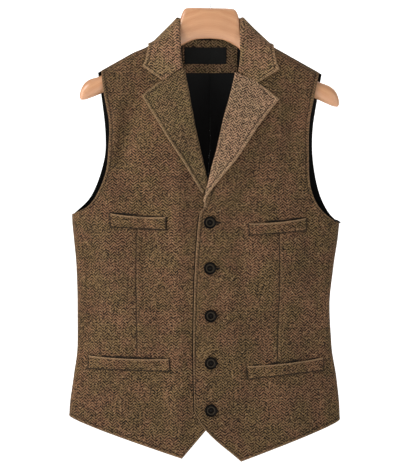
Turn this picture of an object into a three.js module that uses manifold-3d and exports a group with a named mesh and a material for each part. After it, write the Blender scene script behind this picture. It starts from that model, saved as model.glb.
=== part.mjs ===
// A buttoned suit waistcoat of brown herringbone tweed, hanging on a contoured wooden hanger.
// Millimetres, +Z up, the front faces -Y. The origin is the point inside the hook's bend that
// rests on a rail. Left and right are the wearer's: the left front is at +X and lies on top.
import * as THREE from "three";
import { mergeVertices } from "three/addons/utils/BufferGeometryUtils.js";
import Module from "manifold-3d";

const wasm = await Module();
wasm.setup();

const LEFT = 1;
const RIGHT = -1;

// Thickness of each cloth wall, with its interlining, and the gap kept between pieces.
const FRONT_WALL = 2.4;
const BACK_WALL = 1.4;
const LAPEL_WALL = 2.2;
const COLLAR_WALL = 2.4;
const WELT_WALL = 1.8;
const FACING_WALL = 1.4;
const LABEL_WALL = 0.8;
const GAP = 0.35;
const LAPEL_GAP = 0.5;
const FACING_GAP = 0.85;
const LABEL_GAP = FACING_GAP + FACING_WALL + GAP;
const WELT_GAP = 0.6;

// The body's ring at each height: an ellipse about `centre`, `half` wide to each side, with its
// own depth to the front and to the back.
const RINGS = [
  { z: -765, centre: -8.5, half: 212, front: 47, back: 45 },
  { z: -681, centre: -8.5, half: 210, front: 46.5, back: 44.5 },
  { z: -631, centre: -7.8, half: 204.5, front: 45, back: 43 },
  { z: -582, centre: -8.5, half: 197.6, front: 43, back: 41 },
  { z: -520, centre: -10, half: 196, front: 42, back: 40 },
  { z: -458, centre: -7.8, half: 200, front: 44.5, back: 42 },
  { z: -408, centre: -6.5, half: 206, front: 47, back: 43.5 },
  { z: -383, centre: -6.5, half: 208, front: 48, back: 44 },
  { z: -250, centre: 0, half: 208, front: 48, back: 44 },
  { z: -50, centre: 0, half: 208, front: 48, back: 44 },
];
const SIDE_SEAM = THREE.MathUtils.degToRad(97);
const SEAM_HALF_TURN = 0.004;
const CENTRE_BACK_HALF_TURN = 0.0014;

// The shoulders slope from the neck to the tips. Over the hanger the cloth turns with a rounded
// top, and below it falls away to the body's ring over `drop`.
// The wearer's right shoulder is `raise` higher, from `raiseFrom` past the middle outwards.
const SHOULDER = { tipX: 169.4, tipZ: -157.4, slope: 0.5626, round: 22, depth: 16, drop: 175,
  raise: 2.8, raiseFrom: 98, raiseOver: 24 };
const NECK_X = 50.8;
const BACK_NECK_Z = -97;

// Long soft folds pressed into the cloth, each along its own line: negative is a trough. `FADE`
// says how each one starts before its top and dies out past its end, in parts of its length.
const FOLDS = [
  { side: RIGHT, topX: -127, topZ: -188, endX: -134, endZ: -300, width: 15, depth: -3.4 },
  { side: RIGHT, topX: -146, topZ: -205, endX: -150, endZ: -300, width: 9, depth: 1.6 },
  { side: RIGHT, topX: -178, topZ: -400, endX: -170, endZ: -560, width: 20, depth: -2.6 },
  { side: RIGHT, topX: -150, topZ: -660, endX: -176, endZ: -700, width: 20, depth: 2.2 },
  { side: LEFT, topX: 124, topZ: -196, endX: 118, endZ: -285, width: 14, depth: -3 },
  { side: LEFT, topX: 141, topZ: -210, endX: 138, endZ: -300, width: 9, depth: 1.4 },
  { side: LEFT, topX: 176, topZ: -420, endX: 160, endZ: -575, width: 22, depth: -3 },
  { side: LEFT, topX: 112, topZ: -630, endX: 128, endZ: -720, width: 18, depth: 2 },
];
const FADE = { in: 0.35, before: 0.105, past: 0.3, out: 0.5, roundTheSide: 3 };

// The left front rides over the right one: `lift` is how far, full up to `flat` past the middle
// and gone at `end`. Round the foot of the V it also clears the right lapel.
const LIFT = { button: 3, cross: 6, flat: 24, end: 62, top: -215, crossTop: -290, crossEnd: -350,
  settled: -378 };

// Front edges, from the hem's corner up to where the lapel starts to roll.
const FRONT_EDGE = {
  [LEFT]: [
    { z: -682.7, x: -24 },
    { z: -588.1, x: -25.7 },
    { z: -488.9, x: -24.2 },
    { z: -406.8, x: -19.7 },
    { z: -374.2, x: -15.8 },
  ],
  [RIGHT]: [
    { z: -682.7, x: 18.6 },
    { z: -488.9, x: 18.6 },
    { z: -406.8, x: 15.5 },
    { z: -374.2, x: 9.3 },
  ],
};

// The cutaway below the last button, from the hem's corner to the pointed front, then the slope
// of the hem out to the side seam, with how far it bows down on the way.
const CUTAWAY = {
  [LEFT]: [
    { x: -24, z: -682.7 },
    { x: -10.8, z: -706.8 },
    { x: 48.1, z: -760.2 },
  ],
  [RIGHT]: [
    { x: 18.6, z: -682.7 },
    { x: 2, z: -702 },
    { x: -43.4, z: -755.8 },
  ],
};
const HEM = { [LEFT]: { slope: 0.415, bow: 3.8 }, [RIGHT]: { slope: 0.372, bow: 3.6 } };
const BACK_HEM = { centre: -696, side: -684 };

// The roll line of each lapel as seen from the front, from the break up to the side of the neck.
const ROLL_LINE = {
  [LEFT]: [
    { x: -15.8, z: -374.2 },
    { x: 15.5, z: -261.1 },
    { x: 20.9, z: -238.4 },
    { x: 41.7, z: -159.8 },
    { x: 46.2, z: -122.8 },
    { x: 48, z: -100 },
  ],
  [RIGHT]: [
    { x: 9.3, z: -374.2 },
    { x: -6.2, z: -315 },
    { x: -23.2, z: -246.5 },
    { x: -34.1, z: -193.5 },
    { x: -42, z: -154.5 },
    { x: -45.2, z: -119.5 },
    { x: -47.5, z: -98 },
  ],
};
const FOLD_RADIUS = FRONT_WALL / 2 + LAPEL_GAP + LAPEL_WALL / 2;
const ROLL_TO_EDGE = FOLD_RADIUS + LAPEL_WALL / 2;

// Armhole edges from the shoulder's tip down to the side seam.
const FRONT_ARMHOLE = {
  [LEFT]: [
    { x: 170, z: -157.7 },
    { x: 161.7, z: -195.9 },
    { x: 154.5, z: -236 },
    { x: 153.3, z: -280.3 },
    { x: 156.1, z: -335.5 },
    { x: 167.2, z: -363.4 },
    { x: 186, z: -382.7 },
    { x: 199.9, z: -389.7 },
  ],
  [RIGHT]: [
    { x: -169.4, z: -154.6 },
    { x: -165.2, z: -187.6 },
    { x: -156.9, z: -236.1 },
    { x: -157.6, z: -273.4 },
    { x: -162.4, z: -315 },
    { x: -186, z: -361.8 },
    { x: -213, z: -377.3 },
  ],
};
const BACK_ARMHOLE = {
  [LEFT]: [
    { x: 174, z: -160 },
    { x: 167.2, z: -198.7 },
    { x: 160.3, z: -247.1 },
    { x: 160.9, z: -293.6 },
    { x: 171.3, z: -346.3 },
    { x: 186, z: -375.8 },
    { x: 199.9, z: -389.7 },
  ],
  [RIGHT]: [
    { x: -174.5, z: -157.5 },
    { x: -169.4, z: -192.8 },
    { x: -163.2, z: -252.7 },
    { x: -165.2, z: -291.4 },
    { x: -186, z: -349.4 },
    { x: -213, z: -377.3 },
  ],
};

// Lapels: the gorge seam runs from the roll line to the tip, then the outer edge down to the
// break.
const LAPEL = {
  [LEFT]: {
    gorge: [{ x: 42, z: -159.6 }, { x: 74.4, z: -175.6 }, { x: 107, z: -199.8 }],
    edge: [
      { x: 107, z: -199.8 },
      { x: 72.9, z: -244 },
      { x: 39.8, z: -294.2 },
      { x: 12.2, z: -327.4 },
      { x: 1.8, z: -342.5 },
    ],
    rollTop: -159.6,
    rollEnd: -342,
  },
  [RIGHT]: {
    gorge: [{ x: -42.5, z: -154 }, { x: -74.4, z: -171.6 }, { x: -105.6, z: -193.5 }],
    edge: [
      { x: -105.6, z: -193.5 },
      { x: -58, z: -271.5 },
      { x: -11.6, z: -346 },
    ],
    rollTop: -154,
    rollEnd: -340,
  },
};

// The collar in one piece: half of it from the gorge round to the centre back, given for the
// wearer's right. `seam` is the foot of the stand, `fold` its top and `edge` the fall's edge.
// The first rows wrap the front's own edge: `ahead` of it and `behind` the middle of its wall.
const COLLAR_SEAM = [
  { ahead: -2.5, behind: 3.15, z: -152 },
  { ahead: -2, behind: 3.15, z: -132 },
  { x: -47.4, y: -12.4, z: -112 },
  { x: -47.8, y: -10.2, z: -95 },
  { x: -48.4, y: -1, z: -88.2 },
  { x: -44.8, y: 8.8, z: -88.4 },
  { x: -30, y: 14.6, z: -92.4 },
  { x: 0, y: 18.2, z: -96.2 },
];
const COLLAR_FOLD = [
  { ahead: 3.15, behind: 0, z: -151.6 },
  { ahead: 3.15, behind: 0, z: -131 },
  { x: -47, y: -18.7, z: -109 },
  { x: -48.4, y: -13.6, z: -89 },
  { x: -49.3, y: -3, z: -73.6 },
  { x: -46, y: 9.2, z: -73.4 },
  { x: -31, y: 17.2, z: -71 },
  { x: 0, y: 20.8, z: -69.6 },
];
const COLLAR_EDGE = [
  { x: -104.4, y: -20.5, z: -150 },
  { x: -100, y: -19, z: -137 },
  { x: -97.2, y: -15, z: -125 },
  { x: -95.8, y: -8, z: -119 },
  { x: -94.6, y: 3.5, z: -116.2 },
  { x: -79, y: 16, z: -112.5 },
  { x: -46, y: 22.4, z: -111.5 },
  { x: 0, y: 25.2, z: -110.5 },
];
const COLLAR_KNEE = { x: -73.6, z: -170.2 };
const COLLAR_DROP = { fold: -5.4, edge: -2.6, knee: -4 };
const COLLAR_FOLD_RADIUS = 3.15;

// Pocket welts, by their four corners as seen from the front.
const WELTS = [
  { name: "welt_chest_left", side: LEFT,
    corners: [[58.6, -391.3], [149.1, -383], [149.1, -403.8], [60.5, -411]] },
  { name: "welt_chest_right", side: RIGHT,
    corners: [[-67.1, -381.5], [-155.5, -375.6], [-155, -398.2], [-67.1, -402.4]] },
  { name: "welt_hip_left", side: LEFT,
    corners: [[55.6, -612.1], [175.8, -599.6], [175.8, -620.5], [57, -633.5]] },
  { name: "welt_hip_right", side: RIGHT,
    corners: [[-62, -601], [-189.3, -596.2], [-189.3, -617.6], [-60.8, -621.5]] },
];

// Inside the back neck, each with the steps of its grid.
const FACING = { left: -43, right: 43, top: -108, bottom: -159, cols: 8, rows: 6 };
const LABEL = { left: -38.3, right: 24.8, top: -119.5, bottom: -145.1, cols: 6, rows: 3 };

const BUTTON = { radius: 9.75, foot: 7.02, back: 1.6, bevel: 0.5, bevelHeight: 0.88, rim: 4.2,
  rimWidth: 2.1, rimRound: 0.4, rimFall: 0.3, dish: 2.9, dishFall: 1.2, hole: 0.95,
  holeOffset: 1.75, seat: 0.5, sides: 20, holeSides: 8 };
const BUTTONS = [
  { name: "button_1", x: 0, z: -390.5, turn: 0.2 },
  { name: "button_2", x: 0, z: -461.2, turn: 0.7 },
  { name: "button_3", x: 1.1, z: -535.1, turn: 0.1 },
  { name: "button_4", x: 1.4, z: -608.1, turn: 0.4 },
  { name: "button_5", x: 1.6, z: -681, turn: 0.95 },
];

// The wooden hanger: half of it, symmetrical, in its own frame before it tilts on the hook.
const HANGER = [
  { x: 0, top: -58, bottom: -104.5, half: 7, square: 3 },
  { x: 20, top: -58, bottom: -106, half: 7, square: 3 },
  { x: 32, top: -58.3, bottom: -110.5, half: 7, square: 3 },
  { x: 37, top: -58.8, bottom: -113, half: 7, square: 2.8 },
  { x: 40.2, top: -61.6, bottom: -115, half: 7, square: 2.6 },
  { x: 42, top: -67, bottom: -116.4, half: 7, square: 2.4 },
  { x: 43, top: -75, bottom: -117.4, half: 7, square: 2.3 },
  { x: 44.2, top: -83, bottom: -118.6, half: 7, square: 2.2 },
  { x: 47, top: -94, bottom: -120.6, half: 7.4, square: 2 },
  { x: 52, top: -98.6, bottom: -124.2, half: 8.6, square: 2 },
  { x: 70, top: -109.4, bottom: -135.6, half: 9.8, square: 2 },
  { x: 110, top: -133.2, bottom: -160.2, half: 10.4, square: 2 },
  { x: 150, top: -156.4, bottom: -184.6, half: 10.6, square: 2 },
  { x: 172, top: -168, bottom: -196.4, half: 10.8, square: 2.2 },
  { x: 184, top: -171.8, bottom: -201.4, half: 10.8, square: 2.3 },
  { x: 192, top: -177.6, bottom: -204, half: 9.8, square: 2.3 },
  { x: 197, top: -185.6, bottom: -204.2, half: 7.4, square: 2.2 },
  { x: 199.6, top: -194.2, bottom: -201, half: 3.2, square: 2 },
];
const HANGER_PLACE = { x: 1.5, tilt: 0.0225, forward: -1 };
const HANGER_SIDES = 16;
const HANGER_STEP = 14.4;

// The hook: a wire bent to a round eye, open on the wearer's right. Its shank stands on the wood.
const HOOK = { x: 1.5, wire: 1.9, inner: 19, openFrom: 205, closedTo: -50, arcPoints: 14,
  sway: 3.2, swayZ: -0.5, straightZ: -6, shankBottom: -57.2, sides: 8, steps: 34 };

const CLOTH = { color: 0x5f4932, roughness: 0.92, metalness: 0 };
const SATIN = { color: 0x121212, roughness: 0.5, metalness: 0 };
const LABEL_CLOTH = { color: 0x151513, roughness: 0.6, metalness: 0 };
const HORN = { color: 0x1d1a17, roughness: 0.35, metalness: 0 };
const WOOD = { color: 0xcf9f78, roughness: 0.4, metalness: 0 };
const STEEL = { color: 0xc4c6c8, roughness: 0.25, metalness: 1 };

const lerp = THREE.MathUtils.lerp;
const clamp = THREE.MathUtils.clamp;
const mix = (a, b, t) => new THREE.Vector2(lerp(a.x, b.x, t), lerp(a.y, b.y, t));
const smooth = (t) => THREE.MathUtils.smoothstep(t, 0, 1);

// A smooth curve through a table's rows that never swings past them: the value of column
// `name` at any place along column `along`.
function column(table, along, name) {
  const rows = [...table].sort((a, b) => a[along] - b[along]);
  const count = rows.length;
  const steps = [];
  const rises = [];
  for (let i = 0; i < count - 1; i++) {
    steps.push(rows[i + 1][along] - rows[i][along]);
    rises.push((rows[i + 1][name] - rows[i][name]) / steps[i]);
  }
  const slopes = [rises[0]];
  for (let i = 1; i < count - 1; i++) {
    const before = rises[i - 1];
    const after = rises[i];
    slopes.push(before * after <= 0 ? 0 : (2 * before * after) / (before + after));
  }
  slopes.push(rises[count - 2]);
  return (at) => {
    const held = clamp(at, rows[0][along], rows[count - 1][along]);
    let i = 0;
    while (i < count - 2 && held > rows[i + 1][along]) i++;
    const t = (held - rows[i][along]) / steps[i];
    const start = (1 + 2 * t) * (1 - t) ** 2 * rows[i][name];
    const end = t * t * (3 - 2 * t) * rows[i + 1][name];
    const bend = t * (1 - t) ** 2 * slopes[i] - t * t * (1 - t) * slopes[i + 1];
    return start + end + bend * steps[i];
  };
}

const centreAt = column(RINGS, "z", "centre");
const halfAt = column(RINGS, "z", "half");
const frontAt = column(RINGS, "z", "front");
const backAt = column(RINGS, "z", "back");

function shoulderTop(x) {
  const raised = SHOULDER.raise * smooth((-x - SHOULDER.raiseFrom) / SHOULDER.raiseOver);
  return SHOULDER.tipZ + SHOULDER.slope * (SHOULDER.tipX - Math.abs(x)) + raised;
}

// How far the folds push the cloth out at a place on one front.
function foldDepth(side, x, z) {
  let sum = 0;
  for (const fold of FOLDS) {
    if (fold.side !== side) continue;
    const along = (fold.topZ - z) / (fold.topZ - fold.endZ);
    const middle = lerp(fold.topX, fold.endX, along);
    const starting = smooth((along + FADE.before) / FADE.in);
    const ending = smooth((1 + FADE.past - along) / FADE.out);
    sum += fold.depth * Math.exp(-(((x - middle) / fold.width) ** 2)) * starting * ending;
  }
  return sum;
}

// A point on the waistcoat's outer face, at an angle round the body from the centre front.
function bodyPoint(side, angle, z) {
  const x = centreAt(z) + side * halfAt(z) * Math.sin(angle);
  const facing = angle < Math.PI / 2 ? -1 : 1;
  const depth = facing < 0 ? frontAt(z) : backAt(z);
  const hanging = -depth * Math.cos(angle);
  const below = Math.max(shoulderTop(x) - z, 0);
  const turn = Math.min(below / SHOULDER.round, 1);
  const rounded = facing * (GAP / 2 + (SHOULDER.depth - GAP / 2) * Math.sqrt(1 - (1 - turn) ** 2));
  const y = lerp(rounded, hanging, smooth(Math.min(below / SHOULDER.drop, 1)));
  const fold = facing < 0 ? foldDepth(side, x, z) * smooth(Math.cos(angle) * FADE.roundTheSide) : 0;
  return new THREE.Vector3(x, y - fold, z);
}

const angleAt = (side, x, z) => Math.asin(clamp((side * (x - centreAt(z))) / halfAt(z), -1, 1));

function liftAt(side, x, z) {
  if (side === RIGHT) return 0;
  const across = 1 - smooth((x - LIFT.flat) / (LIFT.end - LIFT.flat));
  const down = smooth((LIFT.top - z) / (LIFT.top - LIFT.crossTop));
  const settled = smooth((LIFT.crossEnd - z) / (LIFT.crossEnd - LIFT.settled));
  return across * down * lerp(LIFT.cross, LIFT.button, settled);
}

// How far from a place its neighbours are taken when the slope of the cloth is measured.
const PROBE = 0.5;

// A place on a front seen from the front, moved out from the cloth's outer face.
function onFront(side, x, z, out) {
  const at = (px, pz) => bodyPoint(side, angleAt(side, px, pz), pz);
  const here = at(x, z);
  const across = at(x + PROBE, z).sub(at(x - PROBE, z));
  const up = at(x, z + PROBE).sub(at(x, z - PROBE));
  const normal = across.cross(up).normalize();
  return here.addScaledVector(normal, out + liftAt(side, x, z));
}

function onBackInside(x, z, inward) {
  const side = x < centreAt(z) ? RIGHT : LEFT;
  const at = (px, pz) => {
    const angle = Math.PI - angleAt(side, px, pz);
    return bodyPoint(side, angle, pz);
  };
  const here = at(x, z);
  const across = at(x + PROBE, z).sub(at(x - PROBE, z));
  const up = at(x, z + PROBE).sub(at(x, z - PROBE));
  const normal = up.cross(across).normalize();
  return here.addScaledVector(normal, -(BACK_WALL + inward));
}

// A closed wall between two grids of the same size, with its four rims.
function wallBetween(outer, inner) {
  const rows = outer.length;
  const cols = outer[0].length;
  const positions = [];
  for (const grid of [outer, inner]) {
    for (const row of grid) for (const p of row) positions.push(p.x, p.y, p.z);
  }
  const id = (layer, r, c) => layer * rows * cols + r * cols + c;
  const faces = [];
  const quad = (a, b, c, d) => faces.push(a, b, c, a, c, d);
  for (let r = 0; r < rows - 1; r++) {
    for (let c = 0; c < cols - 1; c++) {
      quad(id(0, r, c), id(0, r, c + 1), id(0, r + 1, c + 1), id(0, r + 1, c));
      quad(id(1, r, c), id(1, r + 1, c), id(1, r + 1, c + 1), id(1, r, c + 1));
    }
  }
  for (let c = 0; c < cols - 1; c++) {
    quad(id(0, 0, c), id(1, 0, c), id(1, 0, c + 1), id(0, 0, c + 1));
    const last = rows - 1;
    quad(id(0, last, c + 1), id(1, last, c + 1), id(1, last, c), id(0, last, c));
  }
  for (let r = 0; r < rows - 1; r++) {
    quad(id(0, r + 1, 0), id(1, r + 1, 0), id(1, r, 0), id(0, r, 0));
    const last = cols - 1;
    quad(id(0, r, last), id(1, r, last), id(1, r + 1, last), id(0, r + 1, last));
  }
  return solid(positions, faces);
}

// A geometry whose faces point out, whichever way round its triangles were listed.
function solid(positions, faces) {
  const corner = (i) => new THREE.Vector3().fromArray(positions, faces[i] * 3);
  let volume = 0;
  for (let i = 0; i < faces.length; i += 3) {
    volume += corner(i).dot(corner(i + 1).cross(corner(i + 2)));
  }
  if (volume < 0) faces.reverse();
  const geometry = new THREE.BufferGeometry();
  geometry.setAttribute("position", new THREE.Float32BufferAttribute(positions, 3));
  geometry.setIndex(faces);
  geometry.computeVertexNormals();
  return geometry;
}

// The two faces of a wall about its middle, from the slope of the grid at each point.
function wallAbout(grid, thickness) {
  const rows = grid.length;
  const cols = grid[0].length;
  const moved = (distance) =>
    grid.map((row, r) =>
      row.map((p, c) => {
        const next = grid[Math.min(r + 1, rows - 1)][c];
        const along = next.clone().sub(grid[Math.max(r - 1, 0)][c]);
        const across = row[Math.min(c + 1, cols - 1)].clone().sub(row[Math.max(c - 1, 0)]);
        return p.clone().addScaledVector(along.cross(across).normalize(), distance);
      }),
    );
  return wallBetween(moved(thickness / 2), moved(-thickness / 2));
}

// Parts of a map of the unit square: how far apart its slope is measured, and from where up and
// how near the middle plane a panel has turned over the shoulder.
const MAP = { across: 0.002, up: 0.01, shoulder: 0.9, shoulderDepth: 8 };

// A wall whose outer face is given by a map of the unit square, with the normal worked out from
// the map itself.
function wallFromMap(rowsAt, colsAt, map, thickness, liftOf) {
  const outer = [];
  const inner = [];
  for (const v of rowsAt) {
    const outerRow = [];
    const innerRow = [];
    for (const u of colsAt) {
      const here = map(u, v);
      const across = map(Math.min(u + MAP.across, 1), v).sub(map(Math.max(u - MAP.across, 0), v));
      const up = map(u, Math.min(v + MAP.up, 1)).sub(map(u, Math.max(v - MAP.up, 0)));
      const normal = across.cross(up).normalize();
      const turnedOver = Math.abs(here.y) <= MAP.shoulderDepth;
      if (!turnedOver && normal.y * Math.sign(here.y) < 0) normal.negate();
      if (turnedOver && normal.z < 0 && v > MAP.shoulder) normal.negate();
      const lift = liftOf(here);
      outerRow.push(here.clone().addScaledVector(normal, lift));
      innerRow.push(here.clone().addScaledVector(normal, lift - thickness));
    }
    outer.push(outerRow);
    inner.push(innerRow);
  }
  return wallBetween(outer, inner);
}

const spaced = (count) => Array.from({ length: count + 1 }, (_, i) => i / count);

// The curve through a table's rows as seen from the front, walked by its length.
function walk(rows) {
  const curve = new THREE.CatmullRomCurve3(
    rows.map((row) => new THREE.Vector3(row.x, 0, row.z)), false, "centripetal");
  curve.arcLengthDivisions = 400;
  return (t) => {
    const p = curve.getPointAt(clamp(t, 0, 1));
    return { x: p.x, z: p.z };
  };
}

// A panel's rows: the skirt from the hem to the underarm, which it reaches at `BREAK_AT`, and the
// chest from there to the shoulder. One column of a front runs down to its point.
const BREAK_AT = 0.42;
const SKIRT_ROWS = 9;
const CHEST_ROWS = 16;
const FRONT_COLS = 15;
const POINT_COLUMN = 5;
const BACK_COLS = 11;
const NECK_AT = 0.28;
const UNDERARM_ROW = 0.9999;
const ROLL_CLEAR = 12;

// A place by its angle and height, held below the shoulder's top.
function panelPoint(side, place) {
  const x = bodyPoint(side, place.x, place.y).x;
  return bodyPoint(side, place.x, Math.min(place.y, shoulderTop(x)));
}

// A front's outer face as a map of the unit square.
function frontMap(side) {
  const cutaway = CUTAWAY[side];
  const point = cutaway[cutaway.length - 1];
  const corner = cutaway[0];
  const edge = column(FRONT_EDGE[side], "z", "x");
  const cut = column(cutaway, "x", "z");
  const arm = walk(FRONT_ARMHOLE[side]);
  const pointAt = POINT_COLUMN / FRONT_COLS;
  const breakZ = ROLL_LINE[side][0].z;
  const breakX = ROLL_LINE[side][0].x;
  const underarm = FRONT_ARMHOLE[side][FRONT_ARMHOLE[side].length - 1].z;
  const seam = SIDE_SEAM - SEAM_HALF_TURN;
  const roll = column(ROLL_LINE[side], "z", "x");
  const lapelFoot = LAPEL[side].rollEnd - LAPEL_WALL;
  const shifted = (z) => ({ x: roll(z) + side * ROLL_TO_EDGE, z });
  const rolled = ROLL_LINE[side].filter((row) => row.z > lapelFoot + ROLL_CLEAR);
  const innerRows = [{ x: breakX, z: breakZ }, shifted(lapelFoot)];
  for (const row of rolled) innerRows.push(shifted(row.z));
  innerRows.push({ x: side * NECK_X, z: shoulderTop(NECK_X) });
  const inner = walk(innerRows);
  const angleXZ = (x, z) => angleAt(side, x, z);

  const breakRow = (u) => {
    const z = lerp(breakZ, underarm, u);
    const first = angleXZ(breakX, breakZ);
    const middle = angleXZ(point.x, breakZ);
    const angle = u < pointAt
      ? lerp(first, middle, u / pointAt)
      : lerp(middle, seam, (u - pointAt) / (1 - pointAt));
    return new THREE.Vector2(angle, z);
  };
  const hemRow = (u) => {
    if (u < pointAt) {
      const x = lerp(corner.x, point.x, u / pointAt);
      const z = cut(x);
      return new THREE.Vector2(angleXZ(x, z), z);
    }
    const middle = angleXZ(point.x, point.z);
    const angle = lerp(middle, seam, (u - pointAt) / (1 - pointAt));
    const ahead = Math.min(angle, Math.PI / 2);
    const x = centreAt(point.z) + side * halfAt(point.z) * Math.sin(ahead);
    const bow = HEM[side].bow * Math.sin((Math.PI * (u - pointAt)) / (1 - pointAt));
    return new THREE.Vector2(angle, point.z + HEM[side].slope * Math.abs(x - point.x) - bow);
  };
  const topRow = (u) => {
    const x = side * lerp(NECK_X, Math.abs(FRONT_ARMHOLE[side][0].x), u);
    const z = shoulderTop(x);
    return new THREE.Vector2(angleXZ(x, z), z);
  };
  return (u, v) => {
    if (v <= BREAK_AT) {
      const t = v / BREAK_AT;
      const place = mix(hemRow(u), breakRow(u), t);
      const z = lerp(corner.z, breakZ, t);
      const straight = lerp(angleXZ(corner.x, corner.z), angleXZ(breakX, breakZ), t);
      place.x += (angleXZ(edge(z), z) - straight) * Math.max(1 - u / pointAt, 0);
      return bodyPoint(side, place.x, place.y);
    }
    const t = (v - BREAK_AT) / (1 - BREAK_AT);
    const down = (1 + Math.cos(Math.PI * t)) / 2;
    const place = mix(topRow(u), breakRow(u), down);
    const innerXZ = inner(1 - down);
    const innerPlace = new THREE.Vector2(angleXZ(innerXZ.x, innerXZ.z), innerXZ.z);
    const armXZ = arm(down);
    const armAngle = down > UNDERARM_ROW ? seam : angleXZ(armXZ.x, armXZ.z);
    const armPlace = new THREE.Vector2(armAngle, armXZ.z);
    place.addScaledVector(innerPlace.sub(mix(topRow(0), breakRow(0), down)), 1 - u);
    place.addScaledVector(armPlace.sub(mix(topRow(1), breakRow(1), down)), u);
    return panelPoint(side, place);
  };
}

// A back's outer face as a map of the unit square.
function backMap(side) {
  const arm = walk(BACK_ARMHOLE[side]);
  const seam = SIDE_SEAM + SEAM_HALF_TURN;
  const centre = Math.PI - CENTRE_BACK_HALF_TURN;
  const underarm = FRONT_ARMHOLE[side][FRONT_ARMHOLE[side].length - 1].z;
  const tipX = Math.abs(BACK_ARMHOLE[side][0].x);
  const round = (x, z) => Math.PI - Math.max(angleAt(side, x, z), CENTRE_BACK_HALF_TURN);
  const turn = (u) => lerp(centre, seam, u);
  const hemRow = (u) => new THREE.Vector2(turn(u), lerp(BACK_HEM.centre, BACK_HEM.side, u));
  const underRow = (u) => new THREE.Vector2(turn(u), underarm);
  const topRow = (u) => {
    if (u >= NECK_AT) {
      const x = side * lerp(NECK_X, tipX, (u - NECK_AT) / (1 - NECK_AT));
      const z = shoulderTop(x);
      return new THREE.Vector2(round(x, z), z);
    }
    const across = u / NECK_AT;
    const z = lerp(BACK_NECK_Z, shoulderTop(NECK_X), across ** 2);
    return new THREE.Vector2(round(side * NECK_X * across, z), z);
  };
  return (u, v) => {
    if (v <= BREAK_AT) {
      const place = mix(hemRow(u), underRow(u), v / BREAK_AT);
      return bodyPoint(side, place.x, place.y);
    }
    const t = (v - BREAK_AT) / (1 - BREAK_AT);
    const down = (1 + Math.cos(Math.PI * t)) / 2;
    const place = mix(topRow(u), underRow(u), down);
    const armXZ = arm(down);
    const armAngle = down > UNDERARM_ROW ? seam : Math.PI - angleAt(side, armXZ.x, armXZ.z);
    const armPlace = new THREE.Vector2(armAngle, armXZ.z);
    place.addScaledVector(armPlace.sub(mix(topRow(1), underRow(1), down)), u);
    return panelPoint(side, place);
  };
}

function panelRows() {
  const skirt = spaced(SKIRT_ROWS).map((t) => t * BREAK_AT);
  const chest = spaced(CHEST_ROWS).slice(1).map((t) => lerp(BREAK_AT, 1, t));
  return [...skirt, ...chest];
}

function front(side) {
  return wallFromMap(panelRows(), spaced(FRONT_COLS), frontMap(side), FRONT_WALL,
    (p) => liftAt(side, p.x, p.z));
}

function back(side) {
  return wallFromMap(panelRows(), spaced(BACK_COLS), backMap(side), BACK_WALL, () => 0);
}

// The lapel's turn round the front's edge: half a turn with a `leg` behind it at the top, and less
// of each towards the break. `shortens` and `opens` are how fast, in parts of the lapel's height.
const LAPEL_FOLD = { turn: Math.PI, least: Math.PI * 0.55, opens: 1.4, opensAfter: 0.1,
  leg: 7, leastLeg: 0.5, shortens: 1.6, toward: 0.05 };
const LAPEL_GRID = { rows: 15, cols: 7, arc: 6 };

// A lapel: it starts behind the front's edge, folds round it and lies on the front.
function lapel(side) {
  const shape = LAPEL[side];
  const gorge = walk(shape.gorge);
  const edge = walk(shape.edge);
  const roll = column(ROLL_LINE[side], "z", "x");
  const out = LAPEL_GAP + LAPEL_WALL / 2;
  const rollPoint = (t) => {
    const z = lerp(shape.rollTop, shape.rollEnd, t);
    return { x: roll(z) + side * ROLL_TO_EDGE, z };
  };
  const bottom = (u) => {
    const a = rollPoint(1);
    const b = edge(1);
    return { x: lerp(a.x, b.x, u), z: lerp(a.z, b.z, u) };
  };
  const patch = (u, t) => {
    const g = gorge(u);
    const a = rollPoint(t);
    const b = edge(t);
    const bot = bottom(u);
    const start = rollPoint(0);
    const tip = edge(0);
    const corner = bottom(0);
    const end = bottom(1);
    const blend = (key) => {
      const ruled = lerp(g[key], bot[key], t) + lerp(a[key], b[key], u);
      const twice = (1 - t) * lerp(start[key], tip[key], u) + t * lerp(corner[key], end[key], u);
      return ruled - twice;
    };
    return { x: blend("x"), z: blend("z") };
  };
  const grid = spaced(LAPEL_GRID.rows).map((t) => {
    const hold = patch(0, t);
    const next = patch(LAPEL_FOLD.toward, t);
    const middle = onFront(side, hold.x, hold.z, -FRONT_WALL / 2);
    const top = onFront(side, hold.x, hold.z, out);
    const toward = onFront(side, next.x, next.z, out).sub(top).normalize();
    const normal = top.clone().sub(middle).normalize();
    const row = [];
    const opening = smooth(t * LAPEL_FOLD.opens - LAPEL_FOLD.opensAfter);
    const wrap = lerp(LAPEL_FOLD.turn, LAPEL_FOLD.least, opening);
    const leg = lerp(LAPEL_FOLD.leg, LAPEL_FOLD.leastLeg, smooth(t * LAPEL_FOLD.shortens));
    const ring = (angle) =>
      middle.clone()
        .addScaledVector(toward, -FOLD_RADIUS * Math.sin(angle))
        .addScaledVector(normal, FOLD_RADIUS * Math.cos(angle));
    const tangent = toward.clone().multiplyScalar(-Math.cos(wrap))
      .addScaledVector(normal, -Math.sin(wrap));
    row.push(ring(wrap).addScaledVector(tangent, leg));
    for (let i = 0; i < LAPEL_GRID.arc; i++) row.push(ring(wrap * (1 - i / LAPEL_GRID.arc)));
    for (const u of spaced(LAPEL_GRID.cols)) {
      const p = patch(u, t);
      row.push(onFront(side, p.x, p.z, out));
    }
    return row;
  });
  return wallAbout(grid, LAPEL_WALL);
}

// The collar's grid from its gorge to the centre back, how much of it bends out at the knee, and
// what holds its fall off the shoulders: their round top down to `roundTop`, then their faces.
const COLLAR_GRID = { half: 15, leg: 2, arc: 6, fall: 6 };
const COLLAR_HOLD = { knee: 0.16, wrapRows: 2, dropRows: 4, spare: 0.35, roundTop: 0.6,
  squash: 1.25 };

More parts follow.
